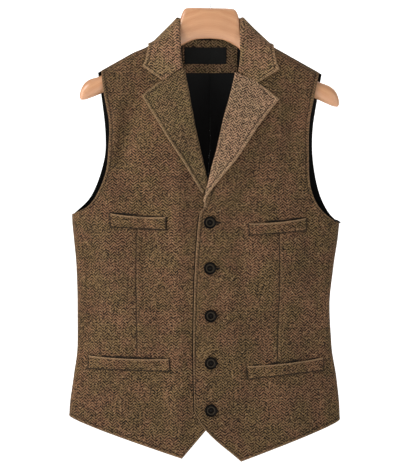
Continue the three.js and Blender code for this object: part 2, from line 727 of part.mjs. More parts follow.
// Holds a point of the collar's fall off the shoulders.
function clearOfShoulder(p, gap) {
  const top = shoulderTop(p.x);
  const below = top - p.z;
  if (below > SHOULDER.round * COLLAR_HOLD.roundTop) {
    const facing = p.y < 0 ? -1 : 1;
    const side = p.x < 0 ? RIGHT : LEFT;
    const front = angleAt(side, p.x, p.z);
    const wall = Math.abs(bodyPoint(side, facing < 0 ? front : Math.PI - front, p.z).y);
    if (Math.abs(p.y) < wall + gap) p.y = facing * (wall + gap);
    return p;
  }
  const heart = top - SHOULDER.round;
  const size = Math.hypot(p.y / SHOULDER.depth, (p.z - heart) / SHOULDER.round);
  const least = 1 + (gap * COLLAR_HOLD.squash) / SHOULDER.depth;
  if (size < least) {
    p.y *= least / size;
    p.z = heart + ((p.z - heart) * least) / size;
  }
  return p;
}

// The middle of a front's wall at its edge beside the neck.
function frontEdge(side, z) {
  const x = column(ROLL_LINE[side], "z", "x")(z) + side * ROLL_TO_EDGE;
  const face = bodyPoint(side, angleAt(side, x, z), z);
  return new THREE.Vector3(x, face.y + FRONT_WALL / 2, z);
}

// The collar as one folded strip: the stand, its fold and the fall, from gorge to gorge.
function collar() {
  const line = (rows, side, drop) => {
    const curve = new THREE.CatmullRomCurve3(rows.map((row, i) => {
      const z = row.z + (side === LEFT ? drop * smooth(1 - i / COLLAR_HOLD.dropRows) : 0);
      if (row.ahead === undefined) return new THREE.Vector3(-side * row.x, row.y, z);
      const held = frontEdge(side, z);
      return new THREE.Vector3(held.x - side * row.ahead, held.y + row.behind, z);
    }), false, "catmullrom", 0.5);
    return (t) => curve.getPoint(t);
  };
  const section = (side, t) => {
    const seam = line(COLLAR_SEAM, side, COLLAR_DROP.fold)(t);
    const fold = line(COLLAR_FOLD, side, COLLAR_DROP.fold)(t);
    const edge = line(COLLAR_EDGE, side, COLLAR_DROP.edge)(t);
    const inside = seam.clone().sub(fold).normalize();
    const outside = edge.clone().sub(fold).normalize();
    const up = inside.clone().add(outside).normalize().negate();
    const over = outside.clone().sub(inside).normalize();
    const wrapped = smooth(COLLAR_HOLD.wrapRows - t * (COLLAR_FOLD.length - 1));
    up.lerp(new THREE.Vector3(-side, 0, 0), wrapped).normalize();
    over.lerp(new THREE.Vector3(0, -1, 0), wrapped);
    over.addScaledVector(up, -over.dot(up)).normalize();
    const heart = fold.clone().addScaledVector(up, -COLLAR_FOLD_RADIUS);
    const ring = (angle) =>
      heart.clone()
        .addScaledVector(over, -COLLAR_FOLD_RADIUS * Math.cos(angle))
        .addScaledVector(up, COLLAR_FOLD_RADIUS * Math.sin(angle));
    const row = [];
    const { leg, arc, fall } = COLLAR_GRID;
    for (let i = 0; i < leg; i++) row.push(seam.clone().lerp(ring(0), i / leg));
    for (let i = 0; i <= arc; i++) row.push(ring((Math.PI * i) / arc));
    const start = ring(Math.PI);
    const bend = smooth(1 - t / COLLAR_HOLD.knee);
    const kneeDrop = side === LEFT ? COLLAR_DROP.knee : 0;
    const knee = { x: -side * COLLAR_KNEE.x, z: COLLAR_KNEE.z + kneeDrop };
    for (let i = 1; i <= fall; i++) {
      const u = i / fall;
      const p = start.clone().lerp(edge, u);
      const bow = 1 - Math.abs(2 * u - 1);
      p.x += (knee.x - (start.x + edge.x) / 2) * bow * bend;
      p.z += (knee.z - (start.z + edge.z) / 2) * bow * bend;
      row.push(clearOfShoulder(p, GAP + COLLAR_WALL / 2 + COLLAR_HOLD.spare));
    }
    return row;
  };
  const grid = [];
  const { half } = COLLAR_GRID;
  for (let i = 0; i <= half; i++) grid.push(section(RIGHT, i / half));
  for (let i = half - 1; i >= 0; i--) grid.push(section(LEFT, i / half));
  return wallAbout(grid, COLLAR_WALL);
}

const WELT_GRID = { rows: 2, cols: 14 };

// A flat strip by its corners, laid on a front.
function welt({ side, corners }) {
  const layer = (out) =>
    spaced(WELT_GRID.rows).map((v) =>
      spaced(WELT_GRID.cols).map((u) => {
        const [a, b, c, d] = corners;
        const x = lerp(lerp(a[0], b[0], u), lerp(d[0], c[0], u), v);
        const z = lerp(lerp(a[1], b[1], u), lerp(d[1], c[1], u), v);
        return onFront(side, x, z, out);
      }),
    );
  return wallBetween(layer(WELT_GAP + WELT_WALL), layer(WELT_GAP));
}

// A strip on the inside of the back.
function insideStrip({ left, right, top, bottom, cols, rows }, inward, wall) {
  const layer = (depth) =>
    spaced(rows).map((v) =>
      spaced(cols).map((u) => onBackInside(lerp(left, right, u), lerp(top, bottom, v), depth)),
    );
  return wallBetween(layer(inward), layer(inward + wall));
}

// A closed loft through rings that all have the same number of points.
function loft(rings) {
  const count = rings[0].length;
  const positions = [];
  for (const ring of rings) for (const p of ring) positions.push(p.x, p.y, p.z);
  const faces = [];
  for (let r = 0; r < rings.length - 1; r++) {
    for (let i = 0; i < count; i++) {
      const a = r * count + i;
      const b = r * count + ((i + 1) % count);
      faces.push(a, b, b + count, a, b + count, a + count);
    }
  }
  for (let i = 1; i < count - 1; i++) {
    faces.push(0, i + 1, i);
    const last = (rings.length - 1) * count;
    faces.push(last, last + i, last + i + 1);
  }
  return solid(positions, faces);
}

function hangerBody() {
  const top = column(HANGER, "x", "top");
  const bottom = column(HANGER, "x", "bottom");
  const halfDepth = column(HANGER, "x", "half");
  const square = column(HANGER, "x", "square");
  const stations = [0];
  for (let i = 1; i < HANGER.length; i++) {
    const span = HANGER[i].x - HANGER[i - 1].x;
    const parts = Math.max(1, Math.round(span / HANGER_STEP));
    for (let k = 1; k <= parts; k++) stations.push(HANGER[i - 1].x + (span * k) / parts);
  }
  const all = [...stations.slice(1).reverse().map((x) => -x), ...stations];
  const rings = all.map((x) => {
    const at = Math.abs(x);
    const heart = (top(at) + bottom(at)) / 2;
    const tall = (top(at) - bottom(at)) / 2;
    const power = 2 / square(at);
    return Array.from({ length: HANGER_SIDES }, (_, i) => {
      const turn = (2 * Math.PI * i) / HANGER_SIDES;
      const cos = Math.cos(turn);
      const sin = Math.sin(turn);
      return new THREE.Vector3(
        x,
        halfDepth(at) * Math.sign(cos) * Math.abs(cos) ** power,
        heart + tall * Math.sign(sin) * Math.abs(sin) ** power,
      );
    });
  });
  return loft(rings);
}

function hangerHook() {
  const bend = HOOK.inner + HOOK.wire;
  const heartZ = -HOOK.inner;
  const points = [];
  for (let i = 0; i <= HOOK.arcPoints; i++) {
    const angle = THREE.MathUtils.degToRad(lerp(HOOK.openFrom, HOOK.closedTo, i / HOOK.arcPoints));
    points.push(new THREE.Vector3(bend * Math.cos(angle), 0, heartZ + bend * Math.sin(angle)));
  }
  points.push(new THREE.Vector3(HOOK.x + HOOK.sway, 0, heartZ - bend + HOOK.swayZ));
  points.push(new THREE.Vector3(HOOK.x, 0, heartZ - bend + HOOK.straightZ));
  points.push(new THREE.Vector3(HOOK.x, 0, HOOK.shankBottom));
  const path = new THREE.CatmullRomCurve3(points, false, "centripetal");
  const ring = Array.from({ length: HOOK.sides }, (_, i) => {
    const turn = (2 * Math.PI * i) / HOOK.sides;
    return new THREE.Vector2(HOOK.wire * Math.cos(turn), HOOK.wire * Math.sin(turn));
  });
  return new THREE.ExtrudeGeometry(new THREE.Shape(ring), {
    steps: HOOK.steps,
    bevelEnabled: false,
    extrudePath: path,
  });
}

const SAME_PLACE = 1e-4;

function manifoldOf(geometry) {
  const bare = geometry.index ? geometry.toNonIndexed() : geometry.clone();
  bare.deleteAttribute("normal");
  bare.deleteAttribute("uv");
  const merged = mergeVertices(bare, SAME_PLACE);
  return new wasm.Manifold(new wasm.Mesh({
    numProp: 3,
    vertProperties: merged.attributes.position.array,
    triVerts: new Uint32Array(merged.index.array),
  }));
}

function geometryOf(body) {
  const mesh = body.getMesh();
  const geometry = new THREE.BufferGeometry();
  geometry.setAttribute("position", new THREE.Float32BufferAttribute(mesh.vertProperties, 3));
  geometry.setIndex(Array.from(mesh.triVerts));
  geometry.computeVertexNormals();
  return geometry;
}

// A four-hole button: its axis is the lathe's, with the front at the top.
function button() {
  const { radius, rim, rimWidth, dish } = BUTTON;
  const profile = [
    { r: 0, h: 0 },
    { r: BUTTON.foot, h: 0 },
    { r: radius - BUTTON.bevel, h: BUTTON.bevelHeight },
    { r: radius, h: BUTTON.back },
    { r: radius - BUTTON.rimRound, h: rim - BUTTON.rimRound },
    { r: radius - rimWidth / 2, h: rim },
    { r: radius - rimWidth, h: rim - BUTTON.rimFall },
    { r: radius - rimWidth - BUTTON.dishFall, h: dish },
    { r: 0, h: dish },
  ].map(({ r, h }) => new THREE.Vector2(r, h));
  let body = manifoldOf(new THREE.LatheGeometry(profile, BUTTON.sides));
  if (body.volume() < 0) throw new Error("the button's profile is reversed");
  for (const [x, z] of [[1, 1], [1, -1], [-1, 1], [-1, -1]]) {
    const hole = new THREE.CylinderGeometry(BUTTON.hole, BUTTON.hole, rim * 4, BUTTON.holeSides);
    hole.translate(x * BUTTON.holeOffset, 0, z * BUTTON.holeOffset);
    body = body.subtract(manifoldOf(hole));
  }
  return geometryOf(body);
}

function made(name, geometry, look) {
  const mesh = new THREE.Mesh(geometry, new THREE.MeshStandardMaterial(look));
  mesh.name = name;
  return mesh;
}

const group = new THREE.Group();
group.add(
  made("front_left", front(LEFT), CLOTH),
  made("front_right", front(RIGHT), CLOTH),
  made("back_left", back(LEFT), SATIN),
  made("back_right", back(RIGHT), SATIN),
  made("lapel_left", lapel(LEFT), CLOTH),
  made("lapel_right", lapel(RIGHT), CLOTH),
  made("collar", collar(), CLOTH),
  made("neck_facing", insideStrip(FACING, FACING_GAP, FACING_WALL), CLOTH),
  made("neck_label", insideStrip(LABEL, LABEL_GAP, LABEL_WALL), LABEL_CLOTH),
);
for (const spec of WELTS) group.add(made(spec.name, welt(spec), CLOTH));

const buttonShape = button();
for (const spec of BUTTONS) {
  const piece = made(spec.name, buttonShape.clone(), HORN);
  const seat = onFront(LEFT, spec.x, spec.z, BUTTON.seat);
  piece.position.copy(seat);
  piece.rotation.set(Math.PI, spec.turn, 0);
  group.add(piece);
}

const hanger = new THREE.Group();
const body = made("hanger_body", hangerBody(), WOOD);
body.position.y = HANGER_PLACE.forward;
hanger.add(body);
hanger.position.x = HANGER_PLACE.x;
hanger.rotation.y = HANGER_PLACE.tilt;
group.add(hanger, made("hanger_hook", hangerHook(), STEEL));

export default group;
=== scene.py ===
"""A buttoned suit waistcoat of brown herringbone tweed on a contoured wooden hanger.

The form is worked out in millimetres and set down in metres. The front faces -Y, +Z is up, and the
origin is the point inside the hook's bend that rests on a rail. Left and right are the wearer's:
the left front is at +X and lies on top."""

import math

import bpy
import numpy as np
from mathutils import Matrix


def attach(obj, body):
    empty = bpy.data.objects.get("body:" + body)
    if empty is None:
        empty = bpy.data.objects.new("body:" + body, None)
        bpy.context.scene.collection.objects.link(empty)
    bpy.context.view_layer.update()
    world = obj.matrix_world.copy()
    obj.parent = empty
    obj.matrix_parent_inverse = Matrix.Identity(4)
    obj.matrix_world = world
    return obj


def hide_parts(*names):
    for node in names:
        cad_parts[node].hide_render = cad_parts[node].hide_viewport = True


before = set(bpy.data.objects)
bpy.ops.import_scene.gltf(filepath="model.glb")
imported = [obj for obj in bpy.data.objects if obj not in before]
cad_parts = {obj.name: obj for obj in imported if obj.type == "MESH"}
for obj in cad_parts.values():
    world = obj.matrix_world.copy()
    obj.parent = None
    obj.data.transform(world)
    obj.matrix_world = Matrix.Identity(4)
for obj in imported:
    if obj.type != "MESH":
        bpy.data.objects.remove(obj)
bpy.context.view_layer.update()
np.random.seed(7)

MM = 0.001
LEFT = 1
RIGHT = -1


def table(names, *rows):
    """A short table with named columns."""
    return {name: np.array([row[i] for row in rows], float) for i, name in enumerate(names.split())}


# Cloth walls and the gaps between the pieces, in millimetres.
FRONT_WALL = 2.4
BACK_WALL = 1.4
LAPEL_WALL = 2.2
COLLAR_WALL = 2.0
WELT_WALL = 1.9
FACING_WALL = 1.4
LABEL_WALL = 0.8
GAP = 0.35
LAPEL_GAP = 0.5
FACING_GAP = 0.85
WELT_GAP = 0.5
FOLD_RADIUS = FRONT_WALL / 2 + LAPEL_GAP + LAPEL_WALL / 2
ROLL_TO_EDGE = FOLD_RADIUS + LAPEL_WALL / 2

# The body's ring at each height.
RINGS = table(
    "z centre half front back",
    (-765, -8.5, 212, 47, 45),
    (-681, -8.5, 210, 46.5, 44.5),
    (-631, -7.8, 204.5, 45, 43),
    (-582, -8.5, 197.6, 43, 41),
    (-520, -10, 196, 42, 40),
    (-458, -7.8, 200, 44.5, 42),
    (-408, -6.5, 206, 47, 43.5),
    (-383, -6.5, 208, 48, 44),
    (-250, 0, 208, 48, 44),
    (-50, 0, 208, 48, 44),
)
SIDE_SEAM = math.radians(97)
SEAM_HALF_TURN = 0.0003
CENTRE_BACK_HALF_TURN = 0.00001

SHOULDER = dict(tip_x=169.4, tip_z=-157.4, slope=0.5626, round=22, depth=16, drop=175,
                rise=2.8, rise_from=98, rise_over=24)
NECK_X = 50.8
BACK_NECK_Z = -97

# Long soft folds in the fronts, each along its own line: a negative depth is a trough.
FOLDS = table(
    "side top_x top_z end_x end_z width depth",
    (RIGHT, -127, -188, -134, -300, 15, -3.4),
    (RIGHT, -146, -205, -150, -300, 9, 1.6),
    (RIGHT, -178, -400, -170, -560, 20, -2.6),
    (RIGHT, -150, -660, -176, -700, 20, 2.2),
    (LEFT, 124, -196, 118, -285, 14, -3),
    (LEFT, 141, -210, 138, -300, 9, 1.4),
    (LEFT, 176, -420, 160, -575, 22, -3),
    (LEFT, 112, -630, 128, -720, 18, 2),
)

# Smaller creases and swells that only the cloth itself has.
CREASES = table(
    "side top_x top_z end_x end_z width depth",
    (RIGHT, -52, -420, -38, -520, 13, -1.1),
    (RIGHT, -96, -410, -104, -470, 11, -1.3),
    (RIGHT, -140, -440, -122, -540, 15, 1.2),
    (RIGHT, -198, -430, -190, -540, 9, 1.5),
    (RIGHT, -30, -500, -52, -560, 12, 0.9),
    (RIGHT, -84, -640, -72, -730, 16, -1.2),
    (RIGHT, -132, -640, -128, -725, 13, 1.3),
    (RIGHT, -192, -560, -200, -690, 14, -1.4),
    (RIGHT, -112, -250, -98, -345, 18, 1.6),
    (RIGHT, -70, -300, -64, -372, 14, -1.2),
    (RIGHT, -128, -172, -158, -292, 12, 4.0),
    (RIGHT, -98, -172, -142, -305, 14, -4.8),
    (RIGHT, -98, -345, -100, -470, 14, -4.4),
    (RIGHT, -50, -285, -48, -470, 14, 5.6),
    (RIGHT, -49, -480, -48, -715, 13, 5.0),
    (RIGHT, -188, -385, -186, -640, 18, -6.2),
    (RIGHT, -150, -330, -158, -420, 15, 2.2),
    (LEFT, 48, -420, 40, -505, 14, -1.0),
    (LEFT, 86, -430, 96, -500, 12, 1.2),
    (LEFT, 128, -425, 118, -520, 16, -1.3),
    (LEFT, 190, -440, 178, -560, 9, 1.6),
    (LEFT, 62, -640, 50, -725, 15, -1.2),
    (LEFT, 150, -640, 158, -715, 14, 1.4),
    (LEFT, 186, -600, 194, -690, 13, -1.5),
    (LEFT, 104, -260, 92, -345, 18, 1.5),
    (LEFT, 66, -300, 74, -375, 13, -1.1),
    (LEFT, 104, -172, 107, -256, 12, 4.2),
    (LEFT, 132, -184, 128, -272, 14, -5.0),
    (LEFT, 116, -215, 36, -375, 13, -5.6),
    (LEFT, 38, -375, 44, -455, 13, -3.8),
    (LEFT, 148, -335, 158, -475, 15, -5.2),
    (LEFT, 150, -570, 164, -720, 17, -5.0),
)

# Soft folds of the back: from the yoke down, in at the waist and out over the hem.
BACK_FOLDS = table(
    "side top_x top_z end_x end_z width depth",
    (RIGHT, -132, -215, -108, -420, 16, -2.4),
    (RIGHT, -84, -190, -70, -330, 18, 1.8),
    (RIGHT, -40, -300, -34, -520, 14, -1.8),
    (RIGHT, -96, -470, -120, -690, 19, 2.4),
    (RIGHT, -152, -430, -148, -640, 15, -2.6),
    (RIGHT, -60, -560, -52, -700, 15, -1.9),
    (LEFT, 126, -220, 112, -400, 15, -2.2),
    (LEFT, 90, -180, 76, -350, 19, 1.9),
    (LEFT, 34, -280, 42, -500, 13, -1.7),
    (LEFT, 92, -480, 110, -690, 18, 2.2),
    (LEFT, 148, -440, 140, -650, 16, -2.5),
    (LEFT, 58, -570, 48, -700, 14, -1.6),
)

LIFT = dict(button=3, cross=6, flat=24, end=62, top=-215, cross_top=-290, cross_end=-350, settled=-378)

FRONT_EDGE = {
    LEFT: table("z x", (-682.7, -24), (-588.1, -25.7), (-488.9, -24.2), (-406.8, -19.7), (-374.2, -15.8)),
    RIGHT: table("z x", (-682.7, 18.6), (-488.9, 18.6), (-406.8, 15.5), (-374.2, 9.3)),
}
CUTAWAY = {
    LEFT: table("x z", (-24, -682.7), (-10.8, -706.8), (48.1, -760.2)),
    RIGHT: table("x z", (18.6, -682.7), (2, -702), (-43.4, -755.8)),
}
HEM = {LEFT: dict(slope=0.415, bow=3.8), RIGHT: dict(slope=0.372, bow=3.6)}
BACK_HEM = dict(centre=-696, side=-684)

ROLL_LINE = {
    LEFT: table("x z", (-15.8, -374.2), (15.5, -261.1), (20.9, -238.4), (41.7, -159.8), (46.2, -122.8), (48, -100)),
    RIGHT: table("x z", (9.3, -374.2), (-6.2, -315), (-23.2, -246.5), (-34.1, -193.5), (-42, -154.5),
                 (-45.2, -119.5), (-47.5, -98)),
}
FRONT_ARMHOLE = {
    LEFT: table("x z", (170, -157.7), (161.7, -195.9), (154.5, -236), (153.3, -280.3), (156.1, -335.5),
                (167.2, -363.4), (186, -382.7), (199.9, -389.7)),
    RIGHT: table("x z", (-169.4, -154.6), (-165.2, -187.6), (-156.9, -236.1), (-157.6, -273.4),
                 (-162.4, -315), (-186, -361.8), (-213, -377.3)),
}
BACK_ARMHOLE = {
    LEFT: table("x z", (174, -160), (167.2, -198.7), (160.3, -247.1), (160.9, -293.6), (171.3, -346.3),
                (186, -375.8), (199.9, -389.7)),
    RIGHT: table("x z", (-174.5, -157.5), (-169.4, -192.8), (-163.2, -252.7), (-165.2, -291.4),
                 (-186, -349.4), (-213, -377.3)),
}
LAPEL = {
    LEFT: dict(
        gorge=table("x z", (42, -158.5), (74.4, -174.9), (107, -199.8)),
        edge=table("x z", (107, -199.8), (72.9, -244), (39.8, -294.2), (12.2, -327.4), (-2.4, -347),
                   (-10.2, -366)),
        roll_top=-158.5, roll_end=-366),
    RIGHT: dict(
        gorge=table("x z", (-42.5, -153), (-74.4, -170.9), (-105.6, -193.5)),
        edge=table("x z", (-105.6, -193.5), (-58, -271.5), (-11.6, -346)),
        roll_top=-153, roll_end=-340),
}

# Half of the collar, from the gorge round to the centre back. The first two rows of the seam and
# of the fold are counted from the front's own edge.
COLLAR_WRAP = table("seam_x seam_y seam_z fold_x fold_y fold_z", (-2.5, 3.15, -152, 3.15, 0, -151.6),
                    (-2, 3.15, -132, 3.15, 0, -131))
COLLAR_SEAM = table("x y z", (-47.4, -12.4, -112), (-47.8, -10.2, -95), (-48.4, -1, -88.2),
                    (-44.8, 8.8, -88.4), (-30, 14.6, -92.4), (0, 18.2, -96.2))
COLLAR_FOLD = table("x y z", (-47, -18.7, -109), (-48.4, -13.6, -89), (-49.3, -3, -73.6),
                    (-46, 9.2, -73.4), (-31, 17.2, -71), (0, 20.8, -69.6))
COLLAR_EDGE = table("x y z", (-104.6, -20.5, -148), (-100, -19, -137), (-97.2, -15, -125),
                    (-95.8, -8, -119), (-94.6, 3.5, -116.2), (-79, 16, -112.5), (-46, 22.4, -111.5),
                    (0, 25.2, -110.5))
COLLAR_KNEE = dict(x=-73.6, z=-170.2)
COLLAR_DROP = dict(fold=-5.4, edge=-4.4, knee=-4)
COLLAR_SPREAD = dict(fold=1.8, edge=3.4, rows=6)
COLLAR_FOLD_RADIUS = 3.15
# Where along half the collar its weave leaves the upright and starts to follow the neck.
COLLAR_GRAIN = dict(front_edge=104, front_to=0.34, over=0.24, turns_at=0.46)

# Welts by their corners: inner top, outer top, outer bottom, inner bottom.
WELTS = {
    "welt_chest_left": (LEFT, table("x z", (58.6, -391.3), (149.1, -383), (149.1, -403.8), (60.5, -411))),
    "welt_chest_right": (RIGHT, table("x z", (-67.1, -381.5), (-155.5, -375.6), (-155, -398.2), (-67.1, -402.4))),
    "welt_hip_left": (LEFT, table("x z", (55.6, -612.1), (175.8, -599.6), (175.8, -620.5), (57, -633.5))),
    "welt_hip_right": (RIGHT, table("x z", (-62, -601), (-189.3, -596.2), (-189.3, -617.6), (-60.8, -621.5))),
}
MOUTH = lambda u: np.sin(math.pi * np.clip(u, 0, 1)) ** 0.7
DARTS = {
    LEFT: table("x z", (107, -405), (108, -480), (105, -560), (104, -606)),
    RIGHT: table("x z", (-114, -402), (-115, -480), (-113.5, -560), (-113, -600)),
}

FACING = dict(left=-43, right=43, top=-105.5, bottom=-156.2)
LABEL = dict(left=-40.2, right=26.2, top=-116.6, bottom=-142.4)

BUTTON = dict(radius=9.75, back=1.6, rim=4.2, rim_width=2.1, dish=2.9, hole=0.95, hole_offset=1.75, seat=0.5)
BUTTONS = {
    "button_1": (0, -390.5, 0.2),
    "button_2": (0, -461.2, 0.7),
    "button_3": (1.1, -535.1, 0.1),
    "button_4": (1.4, -608.1, 0.4),
    "button_5": (1.6, -681, 0.95),
}

# The wooden hanger: half of it, in its own frame before it tilts on the hook.
HANGER = table(
    "x top bottom half square",
    (0, -56.8, -104.5, 7, 3),
    (20, -56.8, -106, 7, 3),
    (32, -57.1, -110.5, 7, 3),
    (37, -57.8, -113, 7, 2.8),
    (40.6, -60.6, -115, 7, 2.6),
    (43.4, -66, -116.8, 7, 2.4),
    (45.2, -72, -118.2, 7, 2.3),
    (46.6, -79, -119.6, 7, 2.2),
    (47.8, -87, -120.8, 7, 2.1),
    (50, -95.5, -122.6, 7.6, 2),
    (54, -99.8, -125.2, 8.8, 2),
    (70, -109.4, -135.6, 9.8, 2),
    (110, -133.2, -160.2, 10.4, 2),
    (150, -156.4, -184.6, 10.6, 2),
    (172, -168, -196.4, 10.8, 2.2),
    (184, -171.8, -201.4, 10.8, 2.3),
    (192, -177.6, -204, 9.8, 2.3),
    (197, -185.6, -204.2, 7.4, 2.2),
    (199.6, -194.2, -201, 3.2, 2),
)
HANGER_PLACE = dict(x=1.5, y=-1, tilt=0.0225, left_longer=4.2, longer_from=168, longer_over=28)

# The girth along which the weave is laid, so that its columns hang straight down.
GRAIN_HALF = 204
GRAIN_FRONT = 46


def smooth(t):
    t = np.clip(t, 0, 1)
    return t * t * (3 - 2 * t)


def lerp(a, b, t):
    return a + (b - a) * t


def column(rows, along, name):
    """A smooth curve through a table's rows that never swings past them."""
    order = np.argsort(rows[along])
    at, value = rows[along][order], rows[name][order]
    step, rise = np.diff(at), np.diff(value) / np.diff(at)
    slope = np.empty(len(at))
    slope[0], slope[-1] = rise[0], rise[-1]
    before, after = rise[:-1], rise[1:]
    together = np.where(before + after == 0, 1, before + after)
    slope[1:-1] = np.where(before * after <= 0, 0, 2 * before * after / together)

    def value_at(where):
        held = np.clip(where, at[0], at[-1])
        i = np.clip(np.searchsorted(at, held, side="left") - 1, 0, len(step) - 1)
        t = (held - at[i]) / step[i]
        start = (1 + 2 * t) * (1 - t) ** 2 * value[i]
        end = t * t * (3 - 2 * t) * value[i + 1]
        bend = t * (1 - t) ** 2 * slope[i] - t * t * (1 - t) * slope[i + 1]
        return start + end + bend * step[i]

    return value_at


def spline(points, t, tight=True):
    """Points on a Catmull-Rom curve through `points`, at t from 0 to 1."""
    points = np.asarray(points, float)
    padded = np.vstack([2 * points[0] - points[1], points, 2 * points[-1] - points[-2]])
    at = np.clip(t, 0, 1) * (len(points) - 1)
    i = np.clip(at.astype(int), 0, len(points) - 2)
    w = (at - i)[:, None]
    p0, p1, p2, p3 = (padded[i + k] for k in range(4))
    if tight:
        d0, d1, d2 = (np.maximum(np.linalg.norm(b - a, axis=1), 1e-6)[:, None] ** 0.5
                      for a, b in ((p0, p1), (p1, p2), (p2, p3)))
        m1 = ((p1 - p0) / d0 - (p2 - p0) / (d0 + d1) + (p2 - p1) / d1) * d1
        m2 = ((p2 - p1) / d1 - (p3 - p1) / (d1 + d2) + (p3 - p2) / d2) * d1
    else:
        m1, m2 = (p2 - p0) / 2, (p3 - p1) / 2
    return p1 + m1 * w + (3 * (p2 - p1) - 2 * m1 - m2) * w**2 + (2 * (p1 - p2) + m1 + m2) * w**3


def walk(rows):
    """The curve through a table's rows as seen from the front, walked by its length."""
    dense = spline(np.column_stack([rows["x"], rows["z"]]), np.linspace(0, 1, 3000))
    length = np.concatenate([[0], np.cumsum(np.linalg.norm(np.diff(dense, axis=0), axis=1))])
    length /= length[-1]
    return lambda t: (np.interp(t, length, dense[:, 0]), np.interp(t, length, dense[:, 1]))


centre_at = column(RINGS, "z", "centre")
half_at = column(RINGS, "z", "half")
front_at = column(RINGS, "z", "front")
back_at = column(RINGS, "z", "back")


def shoulder_top(x):
    risen = SHOULDER["rise"] * smooth((-x - SHOULDER["rise_from"]) / SHOULDER["rise_over"])
    return SHOULDER["tip_z"] + SHOULDER["slope"] * (SHOULDER["tip_x"] - np.abs(x)) + risen


def folds(rows, side, x, z):
    total = np.zeros(np.broadcast(x, z).shape)
    for i in np.flatnonzero(rows["side"] == side):
        along = (rows["top_z"][i] - z) / (rows["top_z"][i] - rows["end_z"][i])
        middle = lerp(rows["top_x"][i], rows["end_x"][i], along)
        fade = smooth(along / 0.35 + 0.3) * smooth((1.3 - along) / 0.5)
        total += rows["depth"][i] * np.exp(-(((x - middle) / rows["width"][i]) ** 2)) * fade
    return total


def body_point(side, angle, z, fine=True):
    """A point on the waistcoat's outer face, at an angle round the body from the centre front."""
    x = centre_at(z) + side * half_at(z) * np.sin(angle)
    ahead = angle < math.pi / 2
    facing = np.where(ahead, -1, 1)
    hanging = -np.where(ahead, front_at(z), back_at(z)) * np.cos(angle)
    below = np.maximum(shoulder_top(x) - z, 0)
    turn = np.minimum(below / SHOULDER["round"], 1)
    rounded = facing * (GAP / 2 + (SHOULDER["depth"] - GAP / 2) * np.sqrt(1 - (1 - turn) ** 2))
    y = lerp(rounded, hanging, smooth(below / SHOULDER["drop"]))
    front_fold = folds(FOLDS, side, x, z)
    back_fold = 0
    if fine:
        front_fold = front_fold + folds(CREASES, side, x, z) + 0.5 * ripple(x, z, 11 + side, 46)
        back_fold = folds(BACK_FOLDS, side, x, z)
    y = y - np.where(ahead, front_fold * smooth(np.cos(angle) * 3), -back_fold * smooth(-np.cos(angle) * 3))
    return np.stack([x, y, z + 0 * x], axis=-1)


def angle_at(side, x, z):
    return np.arcsin(np.clip(side * (x - centre_at(z)) / half_at(z), -1, 1))


def lift_at(side, x, z):
    if side == RIGHT:
        return np.zeros(np.broadcast(x, z).shape)
    across = 1 - smooth((x - LIFT["flat"]) / (LIFT["end"] - LIFT["flat"]))
    down = smooth((LIFT["top"] - z) / (LIFT["top"] - LIFT["cross_top"]))
    settled = smooth((LIFT["cross_end"] - z) / (LIFT["cross_end"] - LIFT["settled"]))
    return across * down * lerp(LIFT["cross"], LIFT["button"], settled)


def unit(v):
    return v / np.maximum(np.linalg.norm(v, axis=-1, keepdims=True), 1e-9)


def on_front(side, x, z, out, fine=True):
    """Places on a front seen from the front, moved out from the cloth's outer face."""
    x, z = np.broadcast_arrays(np.asarray(x, float), np.asarray(z, float))
    at = lambda px, pz: body_point(side, angle_at(side, px, pz), pz, fine)
    step = 0.5
    normal = unit(np.cross(at(x + step, z) - at(x - step, z), at(x, z + step) - at(x, z - step)))
    return at(x, z) + normal * (out + lift_at(side, x, z))[..., None]


def inside_back(x, z, inward):
    side = np.where(x < centre_at(z), RIGHT, LEFT)

    def at(px, pz):
        angle = math.pi - angle_at(side, px, pz)
        right = body_point(RIGHT, angle, pz)
        left = body_point(LEFT, angle, pz)
        return np.where((side == RIGHT)[..., None], right, left)

    step = 0.5
    normal = unit(np.cross(at(x, z + step) - at(x, z - step), at(x + step, z) - at(x - step, z)))
    return at(x, z) - normal * (BACK_WALL + inward)


def grain_of(side, angle, z):
    """How far round the cloth a place is, so that the weave's columns stay upright."""
    steps = 24
    along = np.linspace(0, 1, steps + 1)
    total = np.zeros(np.shape(angle))
    for a, b in zip(along[:-1], along[1:]):
        middle = angle * (a + b) / 2
        total += np.hypot(GRAIN_HALF * np.cos(middle), GRAIN_FRONT * np.sin(middle)) * angle * (b - a)
    return side * total


BREAK_AT = 0.42
POINT_AT = 1 / 3
UNDERARM_FROM = 0.99


def armhole(rows, turned):
    """Angle and height down an armhole, and the angle at which it nears the side seam."""
    curve = walk(rows)
    near_a = float(turned(*curve(UNDERARM_FROM)))

    def place(down):
        x, z = curve(down)
        return np.where(down > UNDERARM_FROM, near_a, turned(x, z)), z

    return place, near_a


# How far below the shoulder's line each row stays, as its share of the way down the armhole.
TOP_ROWS_FALL = 90


